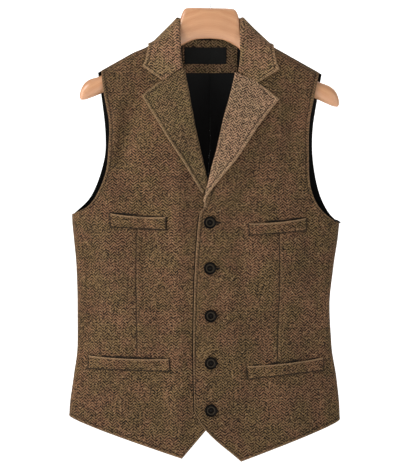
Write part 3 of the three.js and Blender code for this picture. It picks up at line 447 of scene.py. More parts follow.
def front_place(side, u, v):
    """Angle and height of a front's points: the skirt up to the break, and the chest above it."""
    cutaway = CUTAWAY[side]
    corner_x, corner_z = cutaway["x"][0], cutaway["z"][0]
    point_x, point_z = cutaway["x"][-1], cutaway["z"][-1]
    edge = column(FRONT_EDGE[side], "z", "x")
    cut = column(cutaway, "x", "z")
    roll = ROLL_LINE[side]
    rolled = column(roll, "z", "x")
    break_x, break_z = roll["x"][0], roll["z"][0]
    underarm = FRONT_ARMHOLE[side]["z"][-1]
    seam = SIDE_SEAM - SEAM_HALF_TURN
    foot = LAPEL[side]["roll_end"] - LAPEL_WALL
    keep = roll["z"] > foot + 12
    inner_x = np.concatenate([[break_x, rolled(foot) + side * ROLL_TO_EDGE],
                              roll["x"][keep] + side * ROLL_TO_EDGE, [side * NECK_X]])
    inner_z = np.concatenate([[break_z, foot], roll["z"][keep], [shoulder_top(NECK_X)]])
    inner = walk({"x": inner_x, "z": inner_z})
    turned = lambda x, z: angle_at(side, x, z)
    arm, near_a = armhole(FRONT_ARMHOLE[side], turned)
    to_seam = (seam - near_a) * np.clip((u - POINT_AT) / (1 - POINT_AT), 0, 1) ** 6

    def break_row(u):
        z = lerp(break_z, underarm, u)
        first, middle = turned(break_x, break_z), turned(point_x, break_z)
        out = np.clip((u - POINT_AT) / (1 - POINT_AT), 0, 1)
        angle = np.where(u < POINT_AT, lerp(first, middle, u / POINT_AT), lerp(middle, near_a, out))
        return angle, z

    def hem_row(u):
        x_in = lerp(corner_x, point_x, np.minimum(u / POINT_AT, 1))
        z_in = cut(x_in)
        middle = turned(point_x, point_z)
        out = lerp(middle, seam, (u - POINT_AT) / (1 - POINT_AT))
        x = centre_at(point_z) + side * half_at(point_z) * np.sin(np.minimum(out, math.pi / 2))
        bow = HEM[side]["bow"] * np.sin(math.pi * np.clip((u - POINT_AT) / (1 - POINT_AT), 0, 1))
        z_out = point_z + HEM[side]["slope"] * np.abs(x - point_x) - bow
        ahead = u < POINT_AT
        return np.where(ahead, turned(x_in, z_in), out), np.where(ahead, z_in, z_out)

    def top_row(u):
        x = side * lerp(NECK_X, abs(FRONT_ARMHOLE[side]["x"][0]), u)
        return turned(x, shoulder_top(x)), shoulder_top(x)

    t = np.clip(v / BREAK_AT, 0, 1)
    (hem_a, hem_z), (mid_a, mid_z) = hem_row(u), break_row(u)
    z = lerp(corner_z, break_z, t)
    straight = lerp(turned(corner_x, corner_z), turned(break_x, break_z), t)
    skirt_a = lerp(hem_a, mid_a + to_seam, t) + (turned(edge(z), z) - straight) * np.maximum(1 - u / POINT_AT, 0)
    skirt_z = lerp(hem_z, mid_z, t)

    t = np.clip((v - BREAK_AT) / (1 - BREAK_AT), 0, 1)
    down = (1 + np.cos(math.pi * t)) / 2
    top_a, top_z = top_row(u)
    zero, one = np.zeros_like(u), np.ones_like(u)
    in_x, in_z = inner(1 - down)
    arm_a, arm_z = arm(down)
    start_a, start_z = (lerp(a, b, down) for a, b in zip(top_row(zero), break_row(zero)))
    end_a, end_z = (lerp(a, b, down) for a, b in zip(top_row(one), break_row(one)))
    chest_a = lerp(top_a, mid_a, down) + (turned(in_x, in_z) - start_a) * (1 - u) + (arm_a - end_a) * u
    last = np.clip((down - UNDERARM_FROM) / (1 - UNDERARM_FROM), 0, 1)
    chest_a = chest_a + to_seam * last
    chest_z = lerp(top_z, mid_z, down) + (in_z - start_z) * (1 - u) + (arm_z - end_z) * u
    x = centre_at(chest_z) + side * half_at(chest_z) * np.sin(chest_a)
    chest_z = np.minimum(chest_z, shoulder_top(x) - TOP_ROWS_FALL * down)
    lower = v <= BREAK_AT
    return np.where(lower, skirt_a, chest_a), np.where(lower, skirt_z, chest_z)


def back_place(side, u, v):
    seam = SIDE_SEAM + SEAM_HALF_TURN
    arm, near_a = armhole(BACK_ARMHOLE[side], lambda x, z: math.pi - angle_at(side, x, z))
    centre = math.pi - CENTRE_BACK_HALF_TURN
    underarm = FRONT_ARMHOLE[side]["z"][-1]
    neck_at = 0.28
    tip_x = abs(BACK_ARMHOLE[side]["x"][0])
    round_to = lambda x, z: math.pi - np.maximum(angle_at(side, x, z), CENTRE_BACK_HALF_TURN)
    turn = lerp(centre, near_a, u)
    to_seam = (seam - near_a) * u**6
    hem_turn = lerp(centre, seam, u)

    def top_row(u):
        x = side * lerp(NECK_X, tip_x, (u - neck_at) / (1 - neck_at))
        across = u / neck_at
        neck_x = side * NECK_X * across
        neck_z = lerp(BACK_NECK_Z, shoulder_top(NECK_X), across**2)
        out = u >= neck_at
        z = np.where(out, shoulder_top(x), neck_z)
        return round_to(np.where(out, x, neck_x), z), z

    t = np.clip(v / BREAK_AT, 0, 1)
    skirt_z = lerp(lerp(BACK_HEM["centre"], BACK_HEM["side"], u), underarm, t)
    skirt_a = lerp(hem_turn, turn + to_seam, t)
    t = np.clip((v - BREAK_AT) / (1 - BREAK_AT), 0, 1)
    down = (1 + np.cos(math.pi * t)) / 2
    top_a, top_z = top_row(u)
    arm_a, arm_z = arm(down)
    tip_a, tip_z = top_row(np.ones_like(u))
    last = np.clip((down - UNDERARM_FROM) / (1 - UNDERARM_FROM), 0, 1)
    chest_a = lerp(top_a, turn, down) + (arm_a - lerp(tip_a, near_a, down)) * u + to_seam * last
    chest_z = lerp(top_z, underarm, down) + (arm_z - lerp(tip_z, underarm, down)) * u
    x = centre_at(chest_z) + side * half_at(chest_z) * np.sin(chest_a)
    chest_z = np.minimum(chest_z, shoulder_top(x) - TOP_ROWS_FALL * down)
    lower = v <= BREAK_AT
    return np.where(lower, skirt_a, chest_a), np.where(lower, skirt_z, chest_z)


SEAM_SHARPNESS = 3


def spaced_to_edges(count, first, last, length, fine=1.1, margin=13):
    """Values from 0 to 1, close together within `margin` mm of the ends that are asked for."""
    near = np.concatenate([[0, 0.12, 0.35, 0.7, 1.1], np.arange(1.1 + fine, margin, fine)]) / length
    start = near if first else np.array([0.0])
    end = 1 - near[::-1] if last else np.array([1.0])
    middle = np.linspace(start[-1], end[0], count)[1:-1]
    return np.concatenate([start, middle, end])


def grid_normals(grid):
    along = np.gradient(grid, axis=0)
    across = np.gradient(grid, axis=1)
    return unit(np.cross(along, across))


def lengths(grid, axis):
    """Distance along each grid line from its start, and the distance left to its end."""
    step = np.linalg.norm(np.diff(grid, axis=axis), axis=-1)
    zero = np.zeros_like(np.take(step, [0], axis=axis))
    done = np.concatenate([zero, np.cumsum(step, axis=axis)], axis=axis)
    total = np.take(done, [-1], axis=axis)
    return done, total - done


def ripple(a, b, seed, size):
    """A slow, uneven unrest of the cloth, between -1 and 1, from a few crossed waves."""
    rng = np.random.RandomState(seed)
    total = 0
    for _ in range(7):
        turn, phase = rng.uniform(0, 2 * math.pi, 2)
        scale = size * rng.uniform(0.7, 1.6)
        total = total + np.sin((a * math.cos(turn) + b * math.sin(turn)) * 2 * math.pi / scale + phase)
    return total / 4.2


def shell(name, middle, outward, thickness, uvs, slots, outer_extra=None, rim=1.1, seamed=()):
    """A closed cloth wall about a grid, with rounded rims where its two faces meet. The ends in
    `seamed` are sewn to another piece and stay nearly square."""
    rows, cols = middle.shape[:2]
    left, right = lengths(middle, 1)
    bottom, top = lengths(middle, 0)
    if "first" in seamed:
        bottom = bottom * SEAM_SHARPNESS
    if "last" in seamed:
        top = top * SEAM_SHARPNESS
    near = np.minimum(np.minimum(left, right), np.minimum(bottom, top))
    roundness = np.sqrt(1 - (1 - np.clip(near / rim, 0, 1)) ** 2)
    half = (thickness / 2 * roundness)[..., None]
    extra = 0 if outer_extra is None else (outer_extra * roundness)[..., None]
    outer = middle + outward * (half + extra)
    inner = middle - outward * half
    border = np.zeros((rows, cols), bool)
    border[0], border[-1], border[:, 0], border[:, -1] = True, True, True, True
    outer_id = np.arange(rows * cols).reshape(rows, cols)
    inner_id = outer_id.copy()
    inner_id[~border] = rows * cols + np.arange((~border).sum())
    points = np.vstack([outer.reshape(-1, 3), inner[~border]]) * MM

    def quads(ids, flip):
        q = np.stack([ids[:-1, :-1], ids[:-1, 1:], ids[1:, 1:], ids[1:, :-1]], axis=-1).reshape(-1, 4)
        return q[:, ::-1] if flip else q

    normal = np.cross(outer[1:, :-1] - outer[:-1, :-1], outer[:-1, 1:] - outer[:-1, :-1])
    faces_out = np.sum(normal * outward[:-1, :-1]) > 0
    faces = np.vstack([quads(outer_id, faces_out), quads(inner_id, not faces_out)])
    mesh = bpy.data.meshes.new(name)
    mesh.vertices.add(len(points))
    mesh.vertices.foreach_set("co", points.ravel())
    mesh.loops.add(faces.size)
    mesh.loops.foreach_set("vertex_index", faces.ravel())
    mesh.polygons.add(len(faces))
    mesh.polygons.foreach_set("loop_start", np.arange(len(faces)) * 4)
    mesh.polygons.foreach_set("loop_total", np.full(len(faces), 4))
    mesh.polygons.foreach_set("use_smooth", np.ones(len(faces), bool))
    half_count = len(faces) // 2
    mesh.polygons.foreach_set("material_index", np.repeat([0, 1 if len(slots) > 1 else 0], half_count))
    flat_id = np.concatenate([outer_id.ravel(), outer_id[~border]])
    for layer, (first, second) in uvs.items():
        uv = mesh.uv_layers.new(name=layer)
        pairs = np.column_stack([np.broadcast_to(first, (rows, cols)).ravel(),
                                 np.broadcast_to(second, (rows, cols)).ravel()])[flat_id] * MM
        uv.data.foreach_set("uv", pairs[faces.ravel()].ravel())
    for slot in slots:
        mesh.materials.append(slot)
    mesh.update()
    mesh.validate()
    piece = bpy.data.objects.new(name, mesh)
    bpy.context.scene.collection.objects.link(piece)
    return piece


# ---------------------------------------------------------------- materials


class Nodes:
    """A few short words for laying out a material's nodes."""

    def __init__(self, name):
        self.material = bpy.data.materials.new(name)
        self.material.use_nodes = True
        self.tree = self.material.node_tree
        self.shader = self.tree.nodes["Principled BSDF"]

    def node(self, kind, **settings):
        made = self.tree.nodes.new(kind)
        for key, value in settings.items():
            setattr(made, key, value)
        return made

    def put(self, socket, value):
        if isinstance(value, bpy.types.NodeSocket):
            self.tree.links.new(value, socket)
        elif value is not None:
            socket.default_value = value

    def math(self, operation, a, b=None, c=None):
        made = self.node("ShaderNodeMath", operation=operation)
        for socket, value in zip(made.inputs, (a, b, c)):
            self.put(socket, value)
        return made.outputs[0]

    def mix(self, amount, a, b, blend="MIX"):
        made = self.node("ShaderNodeMix", data_type="RGBA", blend_type=blend)
        self.put(made.inputs["Factor"], amount)
        self.put(made.inputs[6], a)
        self.put(made.inputs[7], b)
        return made.outputs[2]

    def noise(self, vector, scale, detail=2.0, roughness=0.5):
        made = self.node("ShaderNodeTexNoise")
        self.put(made.inputs["Vector"], vector)
        self.put(made.inputs["Scale"], scale)
        self.put(made.inputs["Detail"], detail)
        self.put(made.inputs["Roughness"], roughness)
        return made.outputs["Fac"]

    def remap(self, value, low, high, to_low=0.0, to_high=1.0):
        made = self.node("ShaderNodeMapRange")
        for socket, given in zip(made.inputs, (value, low, high, to_low, to_high)):
            self.put(socket, given)
        return made.outputs[0]

    def uv(self, layer):
        made = self.node("ShaderNodeUVMap", uv_map=layer)
        parts = self.node("ShaderNodeSeparateXYZ")
        self.put(parts.inputs[0], made.outputs[0])
        return made.outputs[0], parts.outputs[0], parts.outputs[1]

    def place(self):
        """The place on the object, and its three parts."""
        made = self.node("ShaderNodeTexCoord")
        parts = self.node("ShaderNodeSeparateXYZ")
        self.put(parts.inputs[0], made.outputs["Object"])
        return made.outputs["Object"], parts.outputs[0], parts.outputs[1], parts.outputs[2]

    def vector(self, x, y, z):
        made = self.node("ShaderNodeCombineXYZ")
        for socket, value in zip(made.inputs, (x, y, z)):
            self.put(socket, value)
        return made.outputs[0]

    def bump(self, height, distance, strength=1.0, under=None):
        made = self.node("ShaderNodeBump")
        self.put(made.inputs["Height"], height)
        self.put(made.inputs["Distance"], distance)
        self.put(made.inputs["Strength"], strength)
        self.put(made.inputs["Normal"], under)
        return made.outputs[0]

    def finish(self, **sockets):
        for key, value in sockets.items():
            self.put(self.shader.inputs[key.replace("_", " ")], value)
        return self.material


def linear(red, green, blue):
    """A colour from the values 0 to 255 that a screen shows."""
    channel = lambda c: ((c / 255 + 0.055) / 1.055) ** 2.4 if c > 10 else c / 255 / 12.92
    return (channel(red), channel(green), channel(blue), 1.0)


WEAVE_COLUMN = 0.0066
WEAVE_ACROSS = 206.0
WEAVE_UP = 230.0


def tweed(name, light, dark, olive, rust, edge_highlight=0.16):
    """Herringbone tweed: twill lines that turn at each column, heather flecks and a soft nap, with painted highlights
    along the edges and beside the darts, and painted shade in the stitch grooves, in the pocket mouths, under the left
    front's edge and, with the seam line, round the welts.
    """
    m = Nodes(name)
    _, s, t = m.uv("grain")
    _, near, dart = m.uv("edge")
    _, mouth, outline = m.uv("pocket")
    place, _, _, _ = m.place()
    drift = m.math("MULTIPLY", m.math("SUBTRACT", m.noise(place, 70.0, 2.0), 0.5), 0.0022)
    s_set = m.math("ADD", s, drift)
    zigzag = m.math("PINGPONG", s_set, WEAVE_COLUMN)
    phase = m.math("ADD", m.math("MULTIPLY", t, WEAVE_UP), m.math("MULTIPLY", zigzag, WEAVE_ACROSS))
    wave = m.math("SINE", m.math("MULTIPLY", phase, 2 * math.pi))
    line = m.remap(wave, -0.85, 0.85)
    yarn = m.math("SINE", m.math("MULTIPLY", m.math("SUBTRACT", t, m.math("MULTIPLY", s_set, 0.35)), 6900.0))
    turn = m.math("ABSOLUTE", m.math("SUBTRACT", m.math("MULTIPLY", zigzag, 1 / WEAVE_COLUMN), 0.5))
    spine = m.remap(turn, 0.42, 0.5, 0.0, 0.2)
    speck = m.remap(m.noise(place, 400.0, 1.0, 0.5), 0.3, 0.7, -0.5, 0.5)
    blotch = m.noise(place, 62.0, 3.0, 0.62)
    tint = m.noise(place, 31.0, 3.0, 0.6)
    cloud = m.noise(place, 14.0, 2.0, 0.5)
    wear_and_highlight = m.remap(m.noise(place, 210.0, 1.0, 0.5), 0.36, 0.64, 0.5, 1.12)
    drawn = m.math("ADD", m.math("MULTIPLY", m.math("SUBTRACT", line, 0.5), wear_and_highlight), 0.5)
    tone = m.math("ADD", m.math("MULTIPLY", drawn, 0.94), m.math("MULTIPLY", speck, 0.95))
    tone = m.math("SUBTRACT", tone, spine)
    tone = m.math("ADD", tone, m.math("MULTIPLY", m.math("SUBTRACT", blotch, 0.5), 0.3))
    colour = m.mix(m.remap(tone, 0.0, 1.0), dark, light)
    hue = m.mix(m.remap(tint, 0.4, 0.6), olive, rust)
    colour = m.mix(1.0, colour, hue, "MULTIPLY")
    fleck = m.remap(m.noise(place, 460.0, 0.0, 0.5), 0.66, 0.76)
    colour = m.mix(m.math("MULTIPLY", fleck, 0.45), colour, linear(138, 112, 82))
    pit = m.remap(m.noise(place, 430.0, 0.0, 0.5), 0.64, 0.74)
    colour = m.mix(m.math("MULTIPLY", pit, 0.6), colour, linear(28, 21, 16))
    shade = m.remap(cloud, 0.35, 0.65, 0.9, 1.1)
    colour = m.mix(1.0, colour, m.vector(shade, shade, shade), "MULTIPLY")
    # Painted highlight: the cloth turns lighter within about 4 mm of an edge, as if light caught its rounded rim.
    rim = m.remap(near, 0.0008, 0.0044, edge_highlight, 0.0)
    colour = m.mix(rim, colour, linear(132, 107, 80))
    # Painted shade: a dark line in the groove of the edge stitching, 5.6 mm inside each edge and along the fronts'
    # shoulder seams.
    groove = m.remap(m.math("ABSOLUTE", m.math("SUBTRACT", near, 0.0056)), 0.0003, 0.0014, 0.62, 0.0)
    colour = m.mix(groove, colour, linear(20, 15, 10))
    stitched = m.remap(m.math("ABSOLUTE", dart), 0.0004, 0.0013, 0.8, 0.0)
    colour = m.mix(stitched, colour, linear(18, 13, 9))
    # Painted highlight on the ridge beside each dart.
    ridge = m.remap(m.math("ABSOLUTE", m.math("SUBTRACT", dart, 0.0026)), 0.0006, 0.0018, 0.14, 0.0)
    colour = m.mix(ridge, colour, linear(130, 104, 76))
    # Painted shade: dark in each pocket's mouth above its welt, and on the right front a painted shadow beside the left
    # front's edge.
    slit_shade = m.remap(mouth, 0.0002, 0.0012, 0.9, 0.0)
    colour = m.mix(slit_shade, colour, linear(12, 9, 6))
    # Dark outline round each welt: partly its seam line, partly painted shade where the welt's edges meet the front.
    seam = m.remap(m.math("ABSOLUTE", outline), 0.0006, 0.0016, 0.85, 0.0)
    colour = m.mix(seam, colour, linear(16, 12, 8))
    fuzz = m.noise(place, 1500.0, 1.0, 0.6)
    height = m.math("ADD", m.math("MULTIPLY", line, 0.8), m.math("MULTIPLY", yarn, 0.08))
    height = m.math("ADD", height, m.math("MULTIPLY", fuzz, 0.35))
    normal = m.bump(height, 0.0003, 0.7)
    rough = m.remap(speck, -0.5, 0.5, 0.86, 0.97)
    return m.finish(Base_Color=colour, Roughness=rough, Normal=normal, Sheen_Weight=0.25,
                    Sheen_Roughness=0.5, Sheen_Tint=linear(186, 160, 132), Specular_IOR_Level=0.1)


def satin(name, colour, gleam=0.42):
    """Smooth lining cloth: a fine warp-faced weave, faint streaks and a soft gleam."""
    m = Nodes(name)
    _, s, t = m.uv("grain")
    place, _, _, _ = m.place()
    streak = m.noise(m.vector(m.math("MULTIPLY", s, 1400.0), m.math("MULTIPLY", t, 90.0), 0.0), 1.0, 3.0, 0.6)
    cloud = m.noise(place, 18.0, 2.0)
    warp = m.math("SINE", m.math("MULTIPLY", s, 9000.0))
    weft = m.math("SINE", m.math("MULTIPLY", t, 7400.0))
    tone = m.math("ADD", m.math("MULTIPLY", streak, 0.6), m.math("MULTIPLY", cloud, 0.4))
    low = tuple(0.7 * c for c in colour[:3]) + (1,)
    high = tuple(1.5 * c for c in colour[:3]) + (1,)
    base = m.mix(m.remap(tone, 0.3, 0.7), low, high)
    height = m.math("ADD", m.math("MULTIPLY", m.math("ADD", warp, weft), 0.2), streak)
    creased = m.bump(m.noise(place, 95.0, 3.0, 0.55), 0.0012, 0.35)
    normal = m.bump(height, 0.00008, 0.5, creased)
    rough = m.remap(streak, 0.3, 0.7, gleam - 0.05, gleam + 0.1)
    return m.finish(Base_Color=base, Roughness=rough, Normal=normal, Anisotropic=0.35,
                    Specular_IOR_Level=0.07)


def ribbon(name):
    """The label's plain woven ribbon."""
    m = Nodes(name)
    _, s, t = m.uv("grain")
    place, _, _, _ = m.place()
    rib = m.math("SINE", m.math("MULTIPLY", t, 7800.0))
    thread = m.math("SINE", m.math("MULTIPLY", s, 6200.0))
    tone = m.math("ADD", m.math("MULTIPLY", rib, 0.25), m.math("MULTIPLY", m.noise(place, 260.0, 3.0), 0.9))
    base = m.mix(m.remap(tone, 0.2, 0.9), linear(4, 4, 3), linear(13, 13, 10))
    normal = m.bump(m.math("ADD", rib, m.math("MULTIPLY", thread, 0.6)), 0.00007, 0.6)
    return m.finish(Base_Color=base, Roughness=0.7, Normal=normal, Specular_IOR_Level=0.12)


def wood(name):
    """Pale varnished wood with its grain along the arms."""
    m = Nodes(name)
    place, x, y, z = m.place()
    out = m.math("SUBTRACT", m.math("SQRT", m.math("ADD", m.math("MULTIPLY", x, x), 0.0009)), 0.02)
    along = m.math("SUBTRACT", m.math("MULTIPLY", out, 0.86), m.math("MULTIPLY", z, 0.51))
    across = m.math("ADD", m.math("MULTIPLY", out, 0.51), m.math("MULTIPLY", z, 0.86))
    bend = m.noise(m.vector(m.math("MULTIPLY", along, 9.0), m.math("MULTIPLY", across, 28.0), y), 1.0, 2.0)
    rings = m.math("ADD", m.math("MULTIPLY", across, 520.0), m.math("MULTIPLY", y, 260.0))
    rings = m.math("ADD", rings, m.math("MULTIPLY", bend, 9.0))
    band = m.math("SINE", rings)
    fibre = m.noise(m.vector(m.math("MULTIPLY", along, 60.0), m.math("MULTIPLY", across, 1500.0),
                             m.math("MULTIPLY", y, 1500.0)), 1.0, 3.0, 0.65)
    pore = m.noise(m.vector(m.math("MULTIPLY", along, 160.0), m.math("MULTIPLY", across, 2600.0),
                            m.math("MULTIPLY", y, 2600.0)), 1.0, 1.0)
    tone = m.math("ADD", m.math("MULTIPLY", band, 0.09), m.math("MULTIPLY", fibre, 0.9))
    base = m.mix(m.remap(tone, 0.15, 0.85), linear(154, 106, 72), linear(180, 137, 100))
    base = m.mix(m.remap(pore, 0.66, 0.78, 0.0, 0.4), base, linear(150, 98, 62))
    cloud = m.remap(m.noise(place, 24.0, 2.0), 0.3, 0.7, 0.93, 1.07)
    base = m.mix(1.0, base, m.vector(cloud, cloud, cloud), "MULTIPLY")
    normal = m.bump(m.math("ADD", fibre, m.math("MULTIPLY", pore, 0.5)), 0.00012, 0.45)
    return m.finish(Base_Color=base, Roughness=m.remap(fibre, 0.3, 0.7, 0.36, 0.48), Normal=normal,
                    Coat_Weight=0.35, Coat_Roughness=0.22)


def steel(name):
    m = Nodes(name)
    place, _, _, _ = m.place()
    scratch = m.noise(place, 900.0, 3.0, 0.7)
    cloud = m.noise(place, 60.0, 2.0)
    base = m.mix(m.remap(cloud, 0.3, 0.7), linear(186, 188, 191), linear(218, 219, 221))
    rough = m.remap(m.math("ADD", m.math("MULTIPLY", scratch, 0.6), m.math("MULTIPLY", cloud, 0.4)),
                    0.3, 0.7, 0.16, 0.32)
    return m.finish(Base_Color=base, Metallic=1.0, Roughness=rough, Normal=m.bump(scratch, 0.00002, 0.3))


def horn(name):
    """Dark buttons: near black, faintly streaked brown, with a painted highlight on a ring inside the dish."""
    m = Nodes(name)
    place, x, y, z = m.place()
    streak = m.noise(m.vector(m.math("MULTIPLY", x, 90.0), m.math("MULTIPLY", y, 90.0),
                              m.math("MULTIPLY", z, 420.0)), 1.0, 3.0, 0.6)
    speck = m.noise(place, 1400.0, 2.0)
    tone = m.math("ADD", m.math("MULTIPLY", streak, 0.8), m.math("MULTIPLY", speck, 0.2))
    base = m.mix(m.remap(tone, 0.35, 0.7), linear(2, 1, 1), linear(9, 7, 4))
    # Painted highlight: a lighter ring about 5.6 mm from the centre, on the small raised ring in the dish.
    radius = m.math("SQRT", m.math("ADD", m.math("MULTIPLY", x, x), m.math("MULTIPLY", z, z)))
    wear_and_highlight = m.remap(m.math("ABSOLUTE", m.math("SUBTRACT", radius, 0.0056)), 0.0004, 0.0014, 0.7, 0.0)
    base = m.mix(wear_and_highlight, base, linear(50, 44, 35))
    return m.finish(Base_Color=base, Roughness=m.remap(speck, 0.3, 0.7, 0.34, 0.46),
                    Normal=m.bump(streak, 0.00006, 0.25), Specular_IOR_Level=0.045)


def thread(name, colour):
    m = Nodes(name)
    place, x, y, z = m.place()
    twist = m.math("SINE", m.math("MULTIPLY", m.math("ADD", m.math("ADD", x, y), z), 9500.0))
    speck = m.noise(place, 1600.0, 2.0)
    low = tuple(0.65 * c for c in colour[:3]) + (1,)
    high = tuple(1.4 * c for c in colour[:3]) + (1,)
    tone = m.math("ADD", m.math("MULTIPLY", twist, 0.2), speck)
    return m.finish(Base_Color=m.mix(m.remap(tone, 0.2, 0.8), low, high), Roughness=0.75,
                    Normal=m.bump(twist, 0.0001, 0.5), Sheen_Weight=0.05, Specular_IOR_Level=0.08)


OLIVE = (0.95, 1.0, 0.86, 1)
RUST = (1.08, 0.95, 0.98, 1)
# The lapels and the collar are lighter copies of the tweed, the left lapel much lighter: painted light where they catch
# the light. The welts' copy carries a stronger painted edge highlight.
TWEED = tweed("tweed", linear(101, 78, 55), linear(2, 1, 1), OLIVE, RUST, 0.24)
WELT_TWEED = tweed("tweed_welt", linear(103, 80, 56), linear(2, 1, 1), OLIVE, RUST, 0.55)
LAPEL_TWEED = {
    LEFT: tweed("tweed_lapel_left", linear(148, 121, 96), linear(7, 5, 3), (1.0, 1.0, 0.96, 1), (1.05, 0.97, 0.96, 1), 0.5),
    RIGHT: tweed("tweed_lapel_right", linear(103, 84, 59), linear(2, 1, 1), OLIVE, (1.04, 0.97, 0.95, 1), 0.4),
}
COLLAR_TWEED = tweed("tweed_collar", linear(134, 107, 81), linear(5, 3, 2), OLIVE, RUST, 0.4)
FACING_TWEED = tweed("tweed_facing", linear(112, 90, 67), linear(4, 3, 2), OLIVE, RUST)
SATIN = satin("satin", (0.0034, 0.0034, 0.0033), 0.56)
LINING = satin("lining", (0.003, 0.003, 0.0029), 0.5)
RIBBON = ribbon("ribbon")
WOOD = wood("wood")
STEEL = steel("steel")
HORN = horn("horn")
THREAD = thread("thread", (0.009, 0.006, 0.004))
BUTTON_THREAD = thread("button_thread", (0.006, 0.005, 0.004))
# The buttonhole slits' dark finish is painted shade in their openings.
SLIT_SHADE = thread("slit_shade", (0.0035, 0.0025, 0.0018))


def dart_distance(side, x, z):
    """Signed distance across from the front's dart, far away above and below it."""
    line = DARTS[side]
    middle = np.interp(-z, -line["z"], line["x"])
    gone = np.maximum(np.maximum(z - line["z"][0], line["z"][-1] - z), 0)
    off = x - middle
    return np.where(gone > 0, 40.0, off)


def pocket_lines(side, x, z):
    """How far a place is above a pocket's mouth, and from the outline of its welt."""
    mouth = np.full(x.shape, 30.0)
    outline = np.full(x.shape, 30.0)
    for welt_side, corners in WELTS.values():
        if welt_side != side:
            continue
        cx, cz = corners["x"], corners["z"]
        u = (x - (cx[0] + cx[3]) / 2) / ((cx[1] + cx[2]) / 2 - (cx[0] + cx[3]) / 2)
        top, bottom = lerp(cz[0], cz[1], u), lerp(cz[3], cz[2], u)
        wide = np.hypot(cx[1] - cx[0], cz[1] - cz[0])
        ends = np.maximum(-u, u - 1) * wide
        outline = np.minimum(outline, np.abs(np.maximum(ends, np.maximum(z - top, bottom - z))))
        away = np.maximum(np.maximum(z - top - 0.4, top - 3.6 * MOUTH(u) - z), ends + 1)
        mouth = np.minimum(mouth, away)
    return mouth, outline


def under_left_edge(x, z):
    """How far a place on the right front is from the shadow under the left front's edge."""
    edge = column(FRONT_EDGE[LEFT], "z", "x")(z)
    return np.maximum(edge - 1.2 - x, np.maximum(z + 377, -684 - z))


# How far the edge stitching runs inside an edge, and the shoulder seam below the shoulder's top.
STITCH_IN = 5.6
SHOULDER_SEAM = 12


def front(side, name):
    height, width = 600, 230
    us = spaced_to_edges(74, True, True, width, margin=14)
    vs = spaced_to_edges(170, True, True, height, margin=14)
    us = np.unique(np.concatenate([us, [POINT_AT]]))
    u, v = np.meshgrid(us, vs)
    angle, z = front_place(side, u, v)
    face = body_point(side, angle, z)
    outward = grid_normals(face)
    if np.mean(outward[..., 1]) > 0:
        outward = -outward
    face = face + outward * lift_at(side, face[..., 0], face[..., 2])[..., None]
    middle = face - outward * (FRONT_WALL / 2)
    left, right = lengths(middle, 1)
    bottom, top = lengths(middle, 0)
    near = np.minimum(np.minimum(left, right), np.minimum(bottom, top))
    near = np.minimum(near, STITCH_IN + np.abs(top - SHOULDER_SEAM))
    grain = grain_of(side, angle, z)
    dart = dart_distance(side, face[..., 0], face[..., 2])
    grain = grain + np.where(dart * side > 0, 2.3 * side, 0)
    mouth, outline = pocket_lines(side, face[..., 0], face[..., 2])
    # The right front also gets a painted shadow beside the left front's edge, carried in the pocket mouth channel.
    if side == RIGHT:
        mouth = np.minimum(mouth, under_left_edge(face[..., 0], face[..., 2]))
    puffed = -0.7 * np.exp(-(((near - STITCH_IN) / 1.5) ** 2)) + 0.35 * np.exp(-(((near - 2.6) / 1.9) ** 2))
    seam = -0.9 * np.exp(-((dart / 1.3) ** 2)) + 0.35 * np.exp(-(((dart - 3) / 1.6) ** 2))
    stitches = 0.16 * np.sin(bottom * 2.1) * np.exp(-(((near - 5.6) / 2.4) ** 2))
    layers = {"grain": (grain, z), "edge": (near, dart), "pocket": (mouth, outline)}
    return shell(name, middle, outward, FRONT_WALL, layers, [TWEED, LINING],
                 puffed + seam + stitches, rim=1.1)


def back(side, name):
    us = spaced_to_edges(60, True, True, 250, margin=10)
    vs = spaced_to_edges(130, True, True, 600, margin=10)
    u, v = np.meshgrid(us, vs)
    angle, z = back_place(side, u, v)
    face = body_point(side, angle, z)
    outward = grid_normals(face)
    if np.mean(outward[..., 1]) < 0:
        outward = -outward
    middle = face - outward * (BACK_WALL / 2)
    left, right = lengths(middle, 1)
    bottom, top = lengths(middle, 0)
    near = np.minimum(np.minimum(left, right), np.minimum(bottom, top))
    ridge = -0.35 * np.exp(-(((near - 5) / 1.2) ** 2))
    unrest = 0.35 * ripple(face[..., 0], face[..., 2], 31 + side, 40) * smooth(near / 16)
    return shell(name, middle, outward, BACK_WALL,
                 {"grain": (grain_of(side, angle, z), z)}, [SATIN, LINING],
                 ridge + unrest, rim=0.7)


# Where across the gorge the collar leaves the lapel.
LAPEL_KNEE = 0.52


